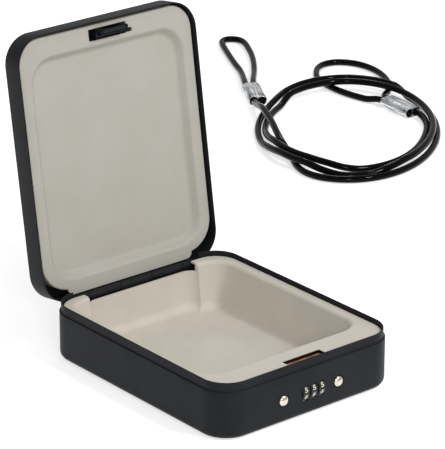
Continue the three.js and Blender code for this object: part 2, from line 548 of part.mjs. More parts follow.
// Lock frame: a folded bridge of plated steel with a top plate, two cheeks, feet and a back plate
const cheekX = [LOCK_X - FRAME_HALF, LOCK_X + FRAME_HALF - FRAME];
const frameFront = FRONT + SHEET + FRAME_FRONT;
const barY0 = HOOK_Y;
const barY1 = HOOK_Y + HOOK_DEPTH;
const fenceY = DIAL_Y + FENCE_BACK;
const detentY = DIAL_Y + DETENT_BACK;
const detentZ = FRAME_FOOT_Z + DETENT_RAISED;
{
  let frame = box(LOCK_X - FRAME_TOP_HALF, LOCK_X + FRAME_TOP_HALF, frameFront, FRAME_BACK,
    FRAME_TOP - FRAME, FRAME_TOP)
    .add(box(LOCK_X - FRAME_BACK_HALF, LOCK_X + FRAME_BACK_HALF, FRAME_BACK - FRAME, FRAME_BACK,
      FRAME_BACK_LOW, FRAME_TOP));
  for (const side of [-1, 1]) {
    const x0 = side < 0 ? cheekX[0] : cheekX[1];
    const slope = FLOOR_R - SHEET;
    frame = frame.add(plateX([[frameFront, FRAME_FOOT_Z + slope], [frameFront + slope, FRAME_FOOT_Z],
      [FRAME_BACK, FRAME_FOOT_Z], [FRAME_BACK, FRAME_TOP], [frameFront, FRAME_TOP]], x0, x0 + FRAME));
    const inner = side < 0 ? x0 + FRAME : x0;
    const outer = inner + side * (FRAME + FRAME_FOOT);
    frame = frame.add(box(Math.min(inner, outer), Math.max(inner, outer), FRAME_BACK - FRAME_FOOT_DEPTH,
      FRAME_BACK, FRAME_FOOT_Z, FRAME_FOOT_Z + FRAME));
    frame = frame.subtract(cylinder('z', STUD_R + CLEAR, 0, FRAME_FOOT_Z + OVERRUN,
      LOCK_X + side * (FRAME_HALF + FRAME_FOOT / 2), FRAME_BACK - FRAME_FOOT_DEPTH / 2, SMALL_ROUND));
    // window for the hook's cross bar, and seats for the shaft, the fence and the detent spring
    const over = [x0 - CLEAR, x0 + FRAME + CLEAR];
    frame = frame.subtract(box(...over, barY0 - HOOK_NOSE, barY1 + BUTTON_TRAVEL + CLEAR * 2,
      HOOK_BAR_Z - CLEAR * 2, HOOK_BAR_Z + HOOK + CLEAR * 2));
    frame = frame.subtract(cylinder('x', SHAFT_R + CLEAR, ...over, DIAL_Y, DIAL_Z, SMALL_ROUND));
    frame = frame.subtract(box(...over, fenceY - CLEAR, fenceY + FENCE + CLEAR,
      DIAL_Z - FENCE_HEIGHT / 2 - CLEAR, DIAL_Z + FENCE_HEIGHT / 2 + CLEAR));
    frame = frame.subtract(box(...over, detentY - CLEAR, detentY + DETENT + CLEAR,
      detentZ - CLEAR, detentZ + DETENT_FOOT + CLEAR));
  }
  // holes that the stems of the pressed buttons run into
  for (const side of [-1, 1]) {
    frame = frame.subtract(cylinder('y', STEM_R + CLEAR, FRAME_BACK - FRAME - OVERRUN, FRAME_BACK + OVERRUN,
      side * BUTTON_X, DIAL_Z, SMALL_ROUND));
  }
  // opening that the striker comes down through
  frame = frame.subtract(box(LOCK_X - STRIKER_LEFT - CLEAR * 2, LOCK_X + STRIKER_RIGHT + CLEAR * 2,
    ROD_Y - STRIKER_TONGUE / 2 - CLEAR * 2, ROD_Y + STRIKER_TONGUE / 2 + CLEAR * 2,
    FRAME_TOP - FRAME - CLEAR, FRAME_TOP + CLEAR));
  piece(safe, 'lock_frame', geometryOf(frame), zincBronze);
  for (const [side, name] of [[-1, 'left'], [1, 'right']]) {
    const nut = solid(new THREE.CylinderGeometry(NUT_R, NUT_R, NUT, 6).rotateX(Math.PI / 2).translate(
      LOCK_X + side * (FRAME_HALF + FRAME_FOOT / 2), FRAME_BACK - FRAME_FOOT_DEPTH / 2,
      FRAME_FOOT_Z + FRAME + CLEAR + NUT / 2));
    piece(safe, `frame_nut_${name}`, geometryOf(nut.subtract(cylinder('z', STUD_R + CLEAR, 0,
      FRAME_FOOT_Z + STUD_HEIGHT + OVERRUN, LOCK_X + side * (FRAME_HALF + FRAME_FOOT / 2),
      FRAME_BACK - FRAME_FOOT_DEPTH / 2, SMALL_ROUND))), zinc);
  }
}

// Dials on their shaft, each with a cam sleeve that turns with it
{
  piece(safe, 'dial_shaft', geometryOf(cylinder('x', SHAFT_R, LOCK_X - FRAME_HALF, LOCK_X + FRAME_HALF,
    DIAL_Y, DIAL_Z, SMALL_ROUND)), zinc);
  const points = [];
  for (let digit = 0; digit < DIAL_DIGITS; digit += 1) {
    const step = 360 / DIAL_DIGITS;
    const middle = (digit + 0.5) * step;
    const deep = DIAL_R - DIAL_GROOVE;
    points.push([DIAL_R, middle - step + DIAL_GROOVE_HALF_DEG], [DIAL_R, middle - step / 2],
      [DIAL_R, middle - DIAL_GROOVE_HALF_DEG], [deep, middle]);
  }
  const at = (r, degrees) => new THREE.Vector2(r * Math.cos(degrees * RAD), r * Math.sin(degrees * RAD));
  const wheelShape = new THREE.Shape(points.map(([r, degrees]) => at(r, degrees)));
  const bore = new THREE.Path();
  bore.absarc(0, 0, SLEEVE_R + CLEAR, 0, Math.PI * 2, true);
  wheelShape.holes.push(bore);
  for (let n = 0; n < DIALS; n += 1) {
    const x = LOCK_X + (n - (DIALS - 1) / 2) * DIAL_PITCH;
    const wheel = new THREE.ExtrudeGeometry(wheelShape, {
      depth: DIAL_WIDTH, bevelEnabled: false, curveSegments: 12,
    });
    wheel.rotateY(Math.PI / 2);
    wheel.translate(x - DIAL_WIDTH / 2, DIAL_Y, DIAL_Z);
    piece(safe, `dial_wheel_${n + 1}`, geometryOf(solid(wheel)), dialBlack);
    const start = x - DIAL_WIDTH / 2;
    const disc = start + DIAL_WIDTH + CLEAR;
    let sleeve = cylinder('x', SLEEVE_R, start, start + DIAL_PITCH - CLEAR, DIAL_Y, DIAL_Z)
      .add(cylinder('x', SLEEVE_DISC_R, disc, disc + SLEEVE_DISC, DIAL_Y, DIAL_Z));
    const notch = SLEEVE_DISC_R * Math.sin(SLEEVE_NOTCH_DEG / 2 * RAD);
    sleeve = sleeve.subtract(box(disc - CLEAR / 2, disc + SLEEVE_DISC + CLEAR / 2,
      DIAL_Y + SLEEVE_DISC_R - SLEEVE_NOTCH, DIAL_Y + SLEEVE_DISC_R + OVERRUN,
      DIAL_Z - notch, DIAL_Z + notch));
    sleeve = sleeve.subtract(cylinder('x', SHAFT_R + CLEAR, start - OVERRUN, start + DIAL_PITCH + OVERRUN,
      DIAL_Y, DIAL_Z, SMALL_ROUND));
    piece(safe, `dial_sleeve_${n + 1}`, geometryOf(sleeve), acetal);
  }
  // spacers between the outer dials and the cheeks
  const dialsStart = LOCK_X - (DIALS - 1) / 2 * DIAL_PITCH - DIAL_WIDTH / 2;
  const dialsEnd = dialsStart + DIALS * DIAL_PITCH;
  for (const [name, x0, x1] of [['left', cheekX[0] + FRAME + CLEAR, dialsStart - CLEAR],
    ['right', dialsEnd, cheekX[1] - CLEAR]]) {
    piece(safe, `dial_spacer_${name}`, geometryOf(cylinder('x', SPACER_R, x0, x1, DIAL_Y, DIAL_Z)
      .subtract(cylinder('x', SHAFT_R + CLEAR, x0 - OVERRUN, x1 + OVERRUN, DIAL_Y, DIAL_Z,
        SMALL_ROUND))), acetal);
  }
}

// Code fence: a bar behind the dials with a tooth for each sleeve's notched disc
{
  let fence = box(LOCK_X - FRAME_HALF - CLEAR, LOCK_X + FRAME_HALF + CLEAR, fenceY, fenceY + FENCE,
    DIAL_Z - FENCE_HEIGHT / 2, DIAL_Z + FENCE_HEIGHT / 2);
  for (let n = 0; n < DIALS; n += 1) {
    const disc = LOCK_X + (n - (DIALS - 1) / 2) * DIAL_PITCH + DIAL_WIDTH / 2 + CLEAR;
    fence = fence.add(box(disc + CLEAR / 2, disc + SLEEVE_DISC - CLEAR / 2, DIAL_Y + SLEEVE_DISC_R + CLEAR,
      fenceY + FENCE / 2, DIAL_Z - FENCE_HEIGHT / 4, DIAL_Z + FENCE_HEIGHT / 4));
  }
  piece(safe, 'code_fence', geometryOf(fence), zinc);
}

// Detent spring: a strip across the frame with a finger that rides in each dial's grooves
{
  let spring = box(LOCK_X - FRAME_HALF - CLEAR, LOCK_X + FRAME_HALF + CLEAR, detentY, detentY + DETENT,
    detentZ, detentZ + DETENT_FOOT);
  const touch = (DIAL_R + CLEAR) * Math.SQRT1_2;
  const tip = [DIAL_Y + touch, DIAL_Z - touch];
  for (let n = 0; n < DIALS; n += 1) {
    const x = LOCK_X + (n - (DIALS - 1) / 2) * DIAL_PITCH;
    spring = spring.add(plateX([
      [detentY, detentZ + DETENT], [detentY + DETENT, detentZ + DETENT],
      [detentY + DETENT, detentZ + DETENT_FOOT], [tip[0] + DETENT, tip[1] + DETENT / 4], [tip[0], tip[1]],
    ], x - DETENT_FINGER / 2, x + DETENT_FINGER / 2));
  }
  piece(safe, 'detent_spring', geometryOf(spring), springSteel);
}

// Release buttons: a domed cap on a stem, in a guide, moving one latch hook each
const buttonBack = FRONT + SHEET + BUTTON_BODY;
const dropX = (side) => [side * BUTTON_X - HOOK_DROP / 2, side * BUTTON_X + HOOK_DROP / 2];
for (const [side, name] of [[-1, 'left'], [1, 'right']]) {
  const profile = [];
  const dome = (BUTTON_R ** 2 + BUTTON_PROUD ** 2) / (2 * BUTTON_PROUD);
  const half = Math.asin(BUTTON_R / dome);
  for (let k = 0; k <= BUTTON_DOME_STEPS; k += 1) {
    const a = half * k / BUTTON_DOME_STEPS;
    profile.push(new THREE.Vector2(dome * Math.sin(a), BUTTON_PROUD - dome * (1 - Math.cos(a))));
  }
  const body = SHEET + BUTTON_BODY;
  profile.push(new THREE.Vector2(BUTTON_R, -body), new THREE.Vector2(STEM_R, -body),
    new THREE.Vector2(STEM_R, -body - STEM_LENGTH), new THREE.Vector2(0, -body - STEM_LENGTH));
  profile[0].x = 0;
  profile.reverse();
  const cap = new THREE.LatheGeometry(profile, ROUND);
  cap.rotateX(Math.PI);
  cap.translate(side * BUTTON_X, FRONT, DIAL_Z);
  piece(safe, `release_button_${name}`, geometryOf(solid(cap)), nickel);

  const guide = cylinder('y', BUTTON_R + CLEAR + GUIDE_WALL, WALL_IN * -1 + CLEAR,
    FRONT + SHEET + CLEAR + GUIDE_LENGTH, side * BUTTON_X, DIAL_Z)
    .subtract(cylinder('y', BUTTON_R + CLEAR, FRONT - OVERRUN,
    FRONT + SHEET + GUIDE_LENGTH + OVERRUN, side * BUTTON_X, DIAL_Z));
  piece(safe, `button_guide_${name}`, geometryOf(guide), acetal);

  // hook: drop plate behind the button, cross bar, and an arm whose nose lies over the striker rod
  const [x0, x1] = dropX(side);
  const armX = LOCK_X + side * HOOK_APART;
  const armX0 = armX - HOOK / 2;
  const armX1 = armX + HOOK / 2;
  const noseLow = ROD_Z + ROD_R + CLEAR;
  const noseHigh = FRAME_TOP - FRAME - CLEAR;
  let hook = box(Math.min(x0, armX0), Math.max(x1, armX1), barY0, barY1, HOOK_BAR_Z, HOOK_BAR_Z + HOOK)
    .add(box(x0, x1, barY0, barY1, DIAL_Z - HOOK_DROP_LOW, HOOK_BAR_Z + HOOK / 2))
    .add(plateX([
      [barY1, HOOK_BAR_Z + HOOK / 2], [barY1, noseHigh], [barY0 - HOOK_NOSE + HOOK_NOSE_SLOPE, noseHigh],
      [barY0 - HOOK_NOSE, noseLow + HOOK_NOSE_TIP], [barY0 - HOOK_NOSE, noseLow], [barY0, noseLow],
      [barY0, HOOK_BAR_Z + HOOK / 2],
    ], armX0, armX1));
  hook = hook.subtract(cylinder('y', STEM_R + CLEAR, barY0 - OVERRUN, barY1 + OVERRUN,
    side * BUTTON_X, DIAL_Z, SMALL_ROUND));
  piece(safe, `latch_hook_${name}`, geometryOf(hook), zincBronze);

  // return spring on the stem, between the drop plate and the frame's back plate
  const start = barY1 + CLEAR + SPRING_WIRE;
  const end = FRAME_BACK - FRAME - CLEAR - SPRING_WIRE;
  const turns = [];
  const total = SPRING_CURLS * SPRING_STEPS;
  for (let k = 0; k <= total; k += 1) {
    const a = Math.PI * 2 * k / SPRING_STEPS;
    turns.push(new THREE.Vector3(side * BUTTON_X + SPRING_R * Math.cos(a),
      start + (end - start) * k / total, DIAL_Z + SPRING_R * Math.sin(a)));
  }
  const wire = new THREE.Shape();
  for (let k = 0; k < SPRING_SIDES; k += 1) {
    const a = Math.PI * 2 * k / SPRING_SIDES;
    const p = [SPRING_WIRE / 2 * Math.cos(a), SPRING_WIRE / 2 * Math.sin(a)];
    if (k === 0) wire.moveTo(...p);
    else wire.lineTo(...p);
  }
  const coil = new THREE.ExtrudeGeometry(wire, {
    steps: total, bevelEnabled: false, extrudePath: new THREE.CatmullRomCurve3(turns),
  });
  piece(safe, `return_spring_${name}`, geometryOf(solid(coil)), springSteel);
}

// Code lever: a plate behind the lock frame with a tab that reaches into the tray
{
  const y = FRAME_BACK + CLEAR;
  piece(safe, 'code_lever', geometryOf(
    box(LEVER_X - LEVER_PLATE / 2, LEVER_X + LEVER_PLATE / 2, y, y + LEVER_THICK,
      LEVER_Z - LEVER_PLATE_HEIGHT / 2, LEVER_Z + LEVER_PLATE_HEIGHT / 2)
      .add(box(LEVER_X - LEVER_TAB / 2, LEVER_X + LEVER_TAB / 2, y + LEVER_THICK / 2, y + LEVER_REACH,
        LEVER_Z - LEVER_TAB / 2, LEVER_Z + LEVER_TAB / 2))), zinc);
}

// What follows rides on the lid. It is worked out shut, in the frame of the case, then set to the pin.
const toLid = (body) => geometryOf(body).translate(0, -HINGE_Y, -HINGE_Z);

// Lid pan
{
  const rings = [[LID_LOW, caseOutline(0)]];
  const inside = [[LID_LOW - OVERRUN, caseOutline(SHEET)]];
  const inner = LID_EDGE_R - SHEET;
  for (let k = 0; k <= EDGE_STEPS; k += 1) {
    const a = Math.PI / 2 * k / EDGE_STEPS;
    rings.push([LID_TOP - LID_EDGE_R * (1 - Math.sin(a)), caseOutline(LID_EDGE_R * (1 - Math.cos(a)))]);
    inside.push([LID_INSIDE - inner * (1 - Math.sin(a)), caseOutline(SHEET + inner * (1 - Math.cos(a)))]);
  }
  let pan = loft(rings).subtract(loft(inside));
  const cut = HINGE_LENGTH / 2 + CLEAR * 2;
  pan = pan.subtract(box(-cut, cut, WALL_IN - OVERRUN, HALF_D + OVERRUN, LID_LOW - OVERRUN,
    HINGE_Z + BARREL_R + CLEAR));
  for (let n = 0; n < RIVETS; n += 1) {
    pan = pan.subtract(cylinder('y', RIVET_R + CLEAR, WALL_IN - OVERRUN, HALF_D + OVERRUN,
      (n - (RIVETS - 1) / 2) * RIVET_PITCH, HINGE_Z + RIVET_FROM_AXIS, SMALL_ROUND));
  }
  for (const x of [LOCK_X - STRIKER_LEFT - STRIKER_EAR / 2, LOCK_X + STRIKER_RIGHT + STRIKER_EAR / 2]) {
    pan = pan.add(cylinder('z', STUD_R, LID_INSIDE - CLEAR - STUD_HEIGHT, LID_TOP - SHEET / 2,
      x, STRIKER_STUD_Y, SMALL_ROUND));
  }
  piece(lid, 'lid_shell', toLid(pan), steelBlack);
}

// Lid liner: a flat border, a shallow soft-edged recess and a wall round the outside up to the pan
{
  const bounds = [-HALF_W + LINER_IN, HALF_W - LINER_IN, FRONT + LINER_IN];
  const back = HALF_D - LID_LINER_BACK_IN;
  const skin = (inset, z, y1 = back) => [z, outline(bounds[0] + inset, bounds[1] - inset, bounds[2] + inset,
    y1 - inset, CORNER_R - LINER_IN - inset, LID_LINER_BACK_R - inset)];
  const tongueHalf = HINGE_LENGTH / 2 - CLEAR * 2;
  const tongue = (inset, z) => [z, outline(-tongueHalf + inset, tongueHalf - inset, 0,
    LINER_BACK - inset, BAY_R - inset)];
  const roof = LID_INSIDE - CLEAR;
  const r = LID_LINER_EDGE_R;
  const outer = (form, high) => loft([form(r, BORDER_Z),
    form(r * (1 - Math.SQRT1_2), BORDER_Z + r * (1 - Math.SQRT1_2)), form(0, BORDER_Z + r), form(0, high)]);
  let liner = outer(skin, roof)
    .add(loft([tongue(0, BORDER_Z), tongue(0, BORDER_Z + LINER)]))
    .subtract(loft([skin(LINER, BORDER_Z + LINER), skin(LINER, roof + OVERRUN)]));
  // the recess is the pocket of a tray turned over
  const recess = {
    edge: LID_RECESS_EDGE_R, foot: LID_RECESS_FLOOR_R, draft: LID_RECESS_DRAFT_DEG, r: LID_RECESS_R,
  };
  const recessBounds = [bounds[0] + LID_RECESS_SIDE, bounds[1] - LID_RECESS_SIDE,
    bounds[2] + LID_RECESS_FRONT, LINER_BACK - LID_RECESS_BACK];
  const turned = (out) => pocket(recessBounds, 0, -LID_RECESS_DEEP, recess, out)
    .mirror([0, 0, 1]).translate([0, 0, BORDER_Z]);
  liner = liner.add(turned(LINER)).subtract(turned(0));
  liner = liner.subtract(box(slotX0, slotX1, slotY0, slotY1, BORDER_Z - OVERRUN, BORDER_Z + LINER * 2));
  // notch for the end of the cross pin
  const pinY = FRONT + CROSS_PIN_BACK;
  const half = CROSS_PIN_R + CLEAR * 2;
  liner = liner.subtract(box(slotX1 - OVERRUN, slotX1 + PIN_TAIL, pinY - half, pinY + half,
    BORDER_Z - OVERRUN, BORDER_Z + LINER * 2));
  liner = liner.subtract(cylinder('z', half, BORDER_Z - OVERRUN, BORDER_Z + LINER * 2,
    slotX1 + PIN_TAIL, pinY, SMALL_ROUND));
  piece(lid, 'lid_liner', toLid(liner), linerGrey);
}

// Striker: a folded bracket whose cheeks carry the rod that the hooks hold, and a cross pin
{
  const left = LOCK_X - STRIKER_LEFT;
  const right = LOCK_X + STRIKER_RIGHT;
  const webTop = LID_INSIDE - CLEAR;
  const webLow = webTop - STRIKER;
  const webY0 = ROD_Y - STRIKER_TONGUE / 2;
  const pinY = FRONT + CROSS_PIN_BACK;
  const pinZ = BORDER_Z + CROSS_PIN_DEEP;
  const cheekBack = slotY1 - CLEAR;
  const cheekLow = pinZ - CROSS_PIN_R - CLEAR;
  const rodLow = ROD_Z - STRIKER_ROUND_ROD;
  const cheek = [[webY0, rodLow + STRIKER], [webY0 + STRIKER, rodLow],
    [webY0 + STRIKER_TONGUE - STRIKER, rodLow], [webY0 + STRIKER_TONGUE, rodLow + STRIKER],
    [webY0 + STRIKER_TONGUE, cheekLow], [cheekBack, cheekLow],
    [cheekBack, webTop], [webY0, webTop]];
  let bracket = box(left - STRIKER_EAR, right + STRIKER_EAR, ROD_Y - STRIKER_TONGUE / 2,
    ROD_Y - STRIKER_TONGUE / 2 + STRIKER_WEB_DEPTH, webLow, webTop)
    .add(plateX(cheek, left, left + STRIKER))
    .add(plateX(cheek, right - STRIKER, right));
  const across = [left - OVERRUN, right + OVERRUN];
  bracket = bracket.subtract(cylinder('x', ROD_END_R + CLEAR, ...across, ROD_Y, ROD_Z, SMALL_ROUND));
  bracket = bracket.subtract(cylinder('x', CROSS_PIN_R + CLEAR, ...across, pinY, pinZ, SMALL_ROUND));
  const studs = [left - STRIKER_EAR / 2, right + STRIKER_EAR / 2];
  for (const x of studs) {
    bracket = bracket.subtract(cylinder('z', STUD_R + CLEAR, webLow - OVERRUN, webTop + OVERRUN,
      x, STRIKER_STUD_Y, SMALL_ROUND));
  }
  piece(lid, 'striker_bracket', toLid(bracket), steelBlack);
  const rod = cylinder('x', ROD_R, left + STRIKER + CLEAR, right - STRIKER - CLEAR, ROD_Y, ROD_Z,
    SMALL_ROUND)
    .add(cylinder('x', ROD_END_R, left - CLEAR - ROD_HEAD / 2, right + CLEAR + ROD_HEAD / 2,
      ROD_Y, ROD_Z, SMALL_ROUND))
    .add(cylinder('x', ROD_HEAD_R, left - CLEAR - ROD_HEAD, left - CLEAR, ROD_Y, ROD_Z, SMALL_ROUND))
    .add(cylinder('x', ROD_HEAD_R, right + CLEAR, right + CLEAR + ROD_HEAD, ROD_Y, ROD_Z, SMALL_ROUND));
  piece(lid, 'striker_rod', toLid(rod), steelBlack);
  piece(lid, 'striker_cross_pin', toLid(cylinder('x', CROSS_PIN_R, left, slotX1 + PIN_TAIL, pinY, pinZ,
    SMALL_ROUND)
    .add(solid(new THREE.SphereGeometry(CROSS_PIN_R, SMALL_ROUND, SMALL_ROUND / 2)
      .translate(slotX1 + PIN_TAIL, pinY, pinZ)))), steelBlack);
  for (const [n, x] of studs.entries()) {
    const nut = solid(new THREE.CylinderGeometry(NUT_R, NUT_R, NUT, 6).rotateX(Math.PI / 2)
      .translate(x, STRIKER_STUD_Y, webLow - CLEAR - NUT / 2));
    piece(lid, `striker_nut_${n + 1}`, toLid(nut.subtract(cylinder('z', STUD_R + CLEAR,
      webLow - NUT - OVERRUN, webTop, x, STRIKER_STUD_Y, SMALL_ROUND))), zinc);
  }
}

// Cable and ferrules
{
  const smooth = (from, to, x) => {
    const t = Math.min(1, Math.max(0, (x - from) / (to - from)));
    return t * t * (3 - 2 * t);
  };
  const floorZ = CABLE / 2 + CABLE_REST;
  const ferruleZ = FERRULE_HEIGHT / 2;
  const unit = ([x, y, dx, dy]) => {
    const length = Math.hypot(dx, dy);
    return { x, y, ux: dx / length, uy: dy / length };
  };
  // a point of a ferrule's left (1) or right (-1) strand, so far along it from its middle
  const strand = (ferrule, hand, along) => {
    const { x, y, ux, uy } = unit(ferrule);
    const side = hand * FERRULE_STRANDS / 2;
    return [x + ux * along - uy * side, y + uy * along + ux * side, ferruleZ];
  };
  const end = FERRULE_LENGTH / 2;
  const on = (points) => points.map(([x, y, z = floorZ]) => [x, y, z]);
  // a value that runs smoothly through its keys, [degrees, value]
  const keyed = (keys, t) => keys.slice(1).reduce((value, [to, next], k) => {
    const [from, last] = keys[k];
    return value + (next - last) * smooth(from, to, t);
  }, keys[0][1]);
  const ring = [];
  for (let t = RING_FROM_DEG; t <= RING_TO_DEG; t += RING_STEP_DEG) {
    const inside = keyed(RING_IN_SHARES, t);
    const short = (RING_SHORT - RING_PITCH_SHORT * inside) * Math.cos(t * RAD);
    const long = (RING_LONG - RING_PITCH_LONG * inside) * Math.sin(t * RAD);
    const c = Math.cos(RING_TURN_DEG * RAD);
    const s = Math.sin(RING_TURN_DEG * RAD);
    ring.push([RING_X + short * c - long * s, RING_Y + short * s + long * c,
      floorZ + RING_CLIMB * keyed(RING_UP_SHARES, t)]);
  }
  const path = [strand(FERRULE_A, -1, CABLE / 4 - end), strand(FERRULE_A, -1, end),
    strand(FERRULE_A, -1, end + CABLE), ...on(EYE_A), strand(FERRULE_A, 1, end + CABLE),
    strand(FERRULE_A, 1, end), strand(FERRULE_A, 1, -end), ...on(LEAD), ...ring, ...on(TAIL),
    strand(FERRULE_B, -1, -end), strand(FERRULE_B, -1, end), ...on(EYE_B),
    strand(FERRULE_B, 1, end + CABLE), strand(FERRULE_B, 1, end), strand(FERRULE_B, 1, CABLE / 4 - end)]
    .map((p) => new THREE.Vector3(...p));
  const position = [];
  const index = [];
  const up = new THREE.Vector3(0, 0, 1);
  path.forEach((p, k) => {
    const before = path[Math.max(0, k - 1)];
    const after = path[Math.min(path.length - 1, k + 1)];
    const a = p.clone().sub(before).normalize();
    const b = after.clone().sub(p).normalize();
    const along = a.add(b).normalize();
    const across = up.clone().cross(along).normalize();
    const over = along.clone().cross(across);
    for (let n = 0; n < CABLE_SIDES; n += 1) {
      const angle = Math.PI * 2 * n / CABLE_SIDES;
      const q = p.clone().addScaledVector(across, CABLE / 2 * Math.cos(angle))
        .addScaledVector(over, CABLE / 2 * Math.sin(angle));
      position.push(q.x, q.y, q.z);
    }
  });
  for (let k = 0; k < path.length - 1; k += 1) {
    for (let n = 0; n < CABLE_SIDES; n += 1) {
      const a = k * CABLE_SIDES + n;
      const b = k * CABLE_SIDES + (n + 1) % CABLE_SIDES;
      index.push(a, b, b + CABLE_SIDES, a, b + CABLE_SIDES, a + CABLE_SIDES);
    }
  }
  for (let n = 1; n < CABLE_SIDES - 1; n += 1) {
    const last = (path.length - 1) * CABLE_SIDES;
    index.push(0, n + 1, n, last, last + n, last + n + 1);
  }
  const tube = new THREE.BufferGeometry();
  tube.setAttribute('position', new THREE.BufferAttribute(new Float32Array(position), 3));
  tube.setIndex(index);
  piece(safe, 'security_cable', geometryOf(solid(tube)), cableBlack);

  // the cable's length, and its least gap to itself between strands
  const fine = [];
  let length = 0;
  for (let k = 0; k < path.length - 1; k += 1) {
    const step = path[k].distanceTo(path[k + 1]);
    const parts = Math.ceil(step / (CABLE / 3));
    for (let n = 0; n < parts; n += 1) {
      fine.push([path[k].clone().lerp(path[k + 1], n / parts), length + step * n / parts]);
    }
    length += step;
  }
  let least = Infinity;
  let where = null;
  fine.forEach(([p, s], k) => {
    for (let n = k + 1; n < fine.length; n += 1) {
      const [q, r] = fine[n];
      if (r - s < CABLE * 3) continue;
      const d = p.distanceTo(q);
      if (d < least) {
        least = d;
        where = p;
      }
    }
  });
  console.log(`cable ${length.toFixed(0)} mm long, least gap to itself ${(least - CABLE).toFixed(2)} mm at `
    + `${where.x.toFixed(0)}, ${where.y.toFixed(0)}`);

  for (const [name, place] of [['ferrule_a', FERRULE_A], ['ferrule_b', FERRULE_B]]) {
    const { x, y, ux, uy } = unit(place);
    const shape = new THREE.Shape();
    const r = FERRULE_HEIGHT / 2;
    const reach = FERRULE_WIDTH / 2 - r;
    shape.absarc(reach, 0, r, -Math.PI / 2, Math.PI / 2, false);
    shape.absarc(-reach, 0, r, Math.PI / 2, Math.PI * 3 / 2, false);
    for (const hand of [-1, 1]) {
      const bore = new THREE.Path();
      bore.absarc(hand * FERRULE_STRANDS / 2, 0, CABLE / 2 + CLEAR, 0, Math.PI * 2, true);
      shape.holes.push(bore);
    }
    const body = new THREE.ExtrudeGeometry(shape, {
      depth: FERRULE_LENGTH, bevelEnabled: false, curveSegments: 8,
    });
    body.translate(0, 0, -end);
    body.rotateX(Math.PI / 2);
    body.rotateZ(Math.atan2(uy, ux) - Math.PI / 2);
    body.translate(x, y, ferruleZ);
    piece(safe, name, geometryOf(solid(body)), aluminium);
  }
}

export default safe;
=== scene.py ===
import math

import bmesh
import bpy
import numpy as np
from mathutils import Matrix, Vector


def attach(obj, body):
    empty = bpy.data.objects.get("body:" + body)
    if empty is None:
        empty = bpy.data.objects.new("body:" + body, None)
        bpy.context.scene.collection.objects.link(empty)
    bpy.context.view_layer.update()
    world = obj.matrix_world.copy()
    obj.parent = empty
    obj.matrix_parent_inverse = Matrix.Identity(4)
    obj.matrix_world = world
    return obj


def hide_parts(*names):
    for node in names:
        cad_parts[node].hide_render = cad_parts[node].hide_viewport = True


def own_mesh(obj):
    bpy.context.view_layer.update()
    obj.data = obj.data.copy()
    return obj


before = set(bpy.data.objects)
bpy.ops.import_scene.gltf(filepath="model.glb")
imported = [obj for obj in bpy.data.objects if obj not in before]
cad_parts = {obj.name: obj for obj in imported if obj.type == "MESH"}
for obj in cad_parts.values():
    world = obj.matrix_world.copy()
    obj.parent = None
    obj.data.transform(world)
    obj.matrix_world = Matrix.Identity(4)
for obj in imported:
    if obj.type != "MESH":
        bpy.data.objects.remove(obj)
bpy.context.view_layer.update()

# Camera: a long lens some two metres away, 22 degrees up and 40 degrees to the left of the front,
# aimed at a point above the middle of the case.
AIM = Vector((0.00153, 0.0, 0.11158))
AZIMUTH, ELEVATION, ROLL = math.radians(-39.575), math.radians(22.018), math.radians(0.098)
DISTANCE = 2.10605
LENS_MM, SENSOR_MM = 237.23, 36

back = Vector((math.sin(AZIMUTH) * math.cos(ELEVATION), -math.cos(AZIMUTH) * math.cos(ELEVATION),
               math.sin(ELEVATION)))
level = (-back).cross(Vector((0, 0, 1))).normalized()
upright = level.cross(-back)
right = level * math.cos(ROLL) + upright * math.sin(ROLL)
upward = upright * math.cos(ROLL) - level * math.sin(ROLL)
camera = bpy.data.objects.new("camera", bpy.data.cameras.new("camera"))
camera.data.lens = LENS_MM
camera.data.sensor_width = SENSOR_MM
camera.location = AIM + back * DISTANCE
camera.rotation_mode = "QUATERNION"
camera.rotation_quaternion = Matrix((right, upward, back)).transposed().to_quaternion()
bpy.context.collection.objects.link(camera)
bpy.context.scene.camera = camera

# Security cable: steel rope in a smooth glossy sleeve, 6 mm thick. It lies in a ring of nearly three
# turns, with an eye at either end. Its lead rides over two turns and then runs under them, and the
# turns ride over the far eye's strands.
MM = 0.001
CABLE, CABLE_LENGTH = 6 * MM, 2.34
CABLE_HEIGHT = CABLE / 2 + 0.05 * MM
RING_MIDDLE = (0.3987, 0.3084)
RING_HALVES = (0.0789, 0.1208)
RING_PITCH = (0.0068, 0.0110)
RING_TURN = math.radians(-42.7)
RING_CLIMB = 0.0067
RING_FROM, RING_TO, RING_STEP = 255, 1065, 15
# By degrees of turn: how many pitches the turns lie inside the outer oval, and how far they climb
RING_IN_SHARES = [(534, 0), (618, 0.9), (675, 0.63), (689, 0.65), (728, 0.54), (809, 0.94),
                  (861, 1.04), (891, 0.99), (900, 1.01), (976, 2.06), (999, 2.09), (1132, 1.31)]
RING_UP_SHARES = [(412, 0), (419, 1), (486, 1), (527, 0), (564, 0), (575, 1), (599, 1), (628, 0),
                  (652, 0), (666, 0.85), (748, 0.85), (778, 1), (856, 1), (869, 0), (913, 0), (917, 1),
                  (961, 1), (1006, 0)]
FERRULE_LENGTH, FERRULE_WIDTH, FERRULE_HEIGHT = 0.038, 0.017, 0.0104
FERRULE_STRANDS = 0.0075
# Where the middle of each ferrule lies, and which way its eye points
FERRULE_A = (0.3927, 0.4281, 0.506, 0.862)
FERRULE_B = (0.4716, 0.3195, 0.092, 0.996)
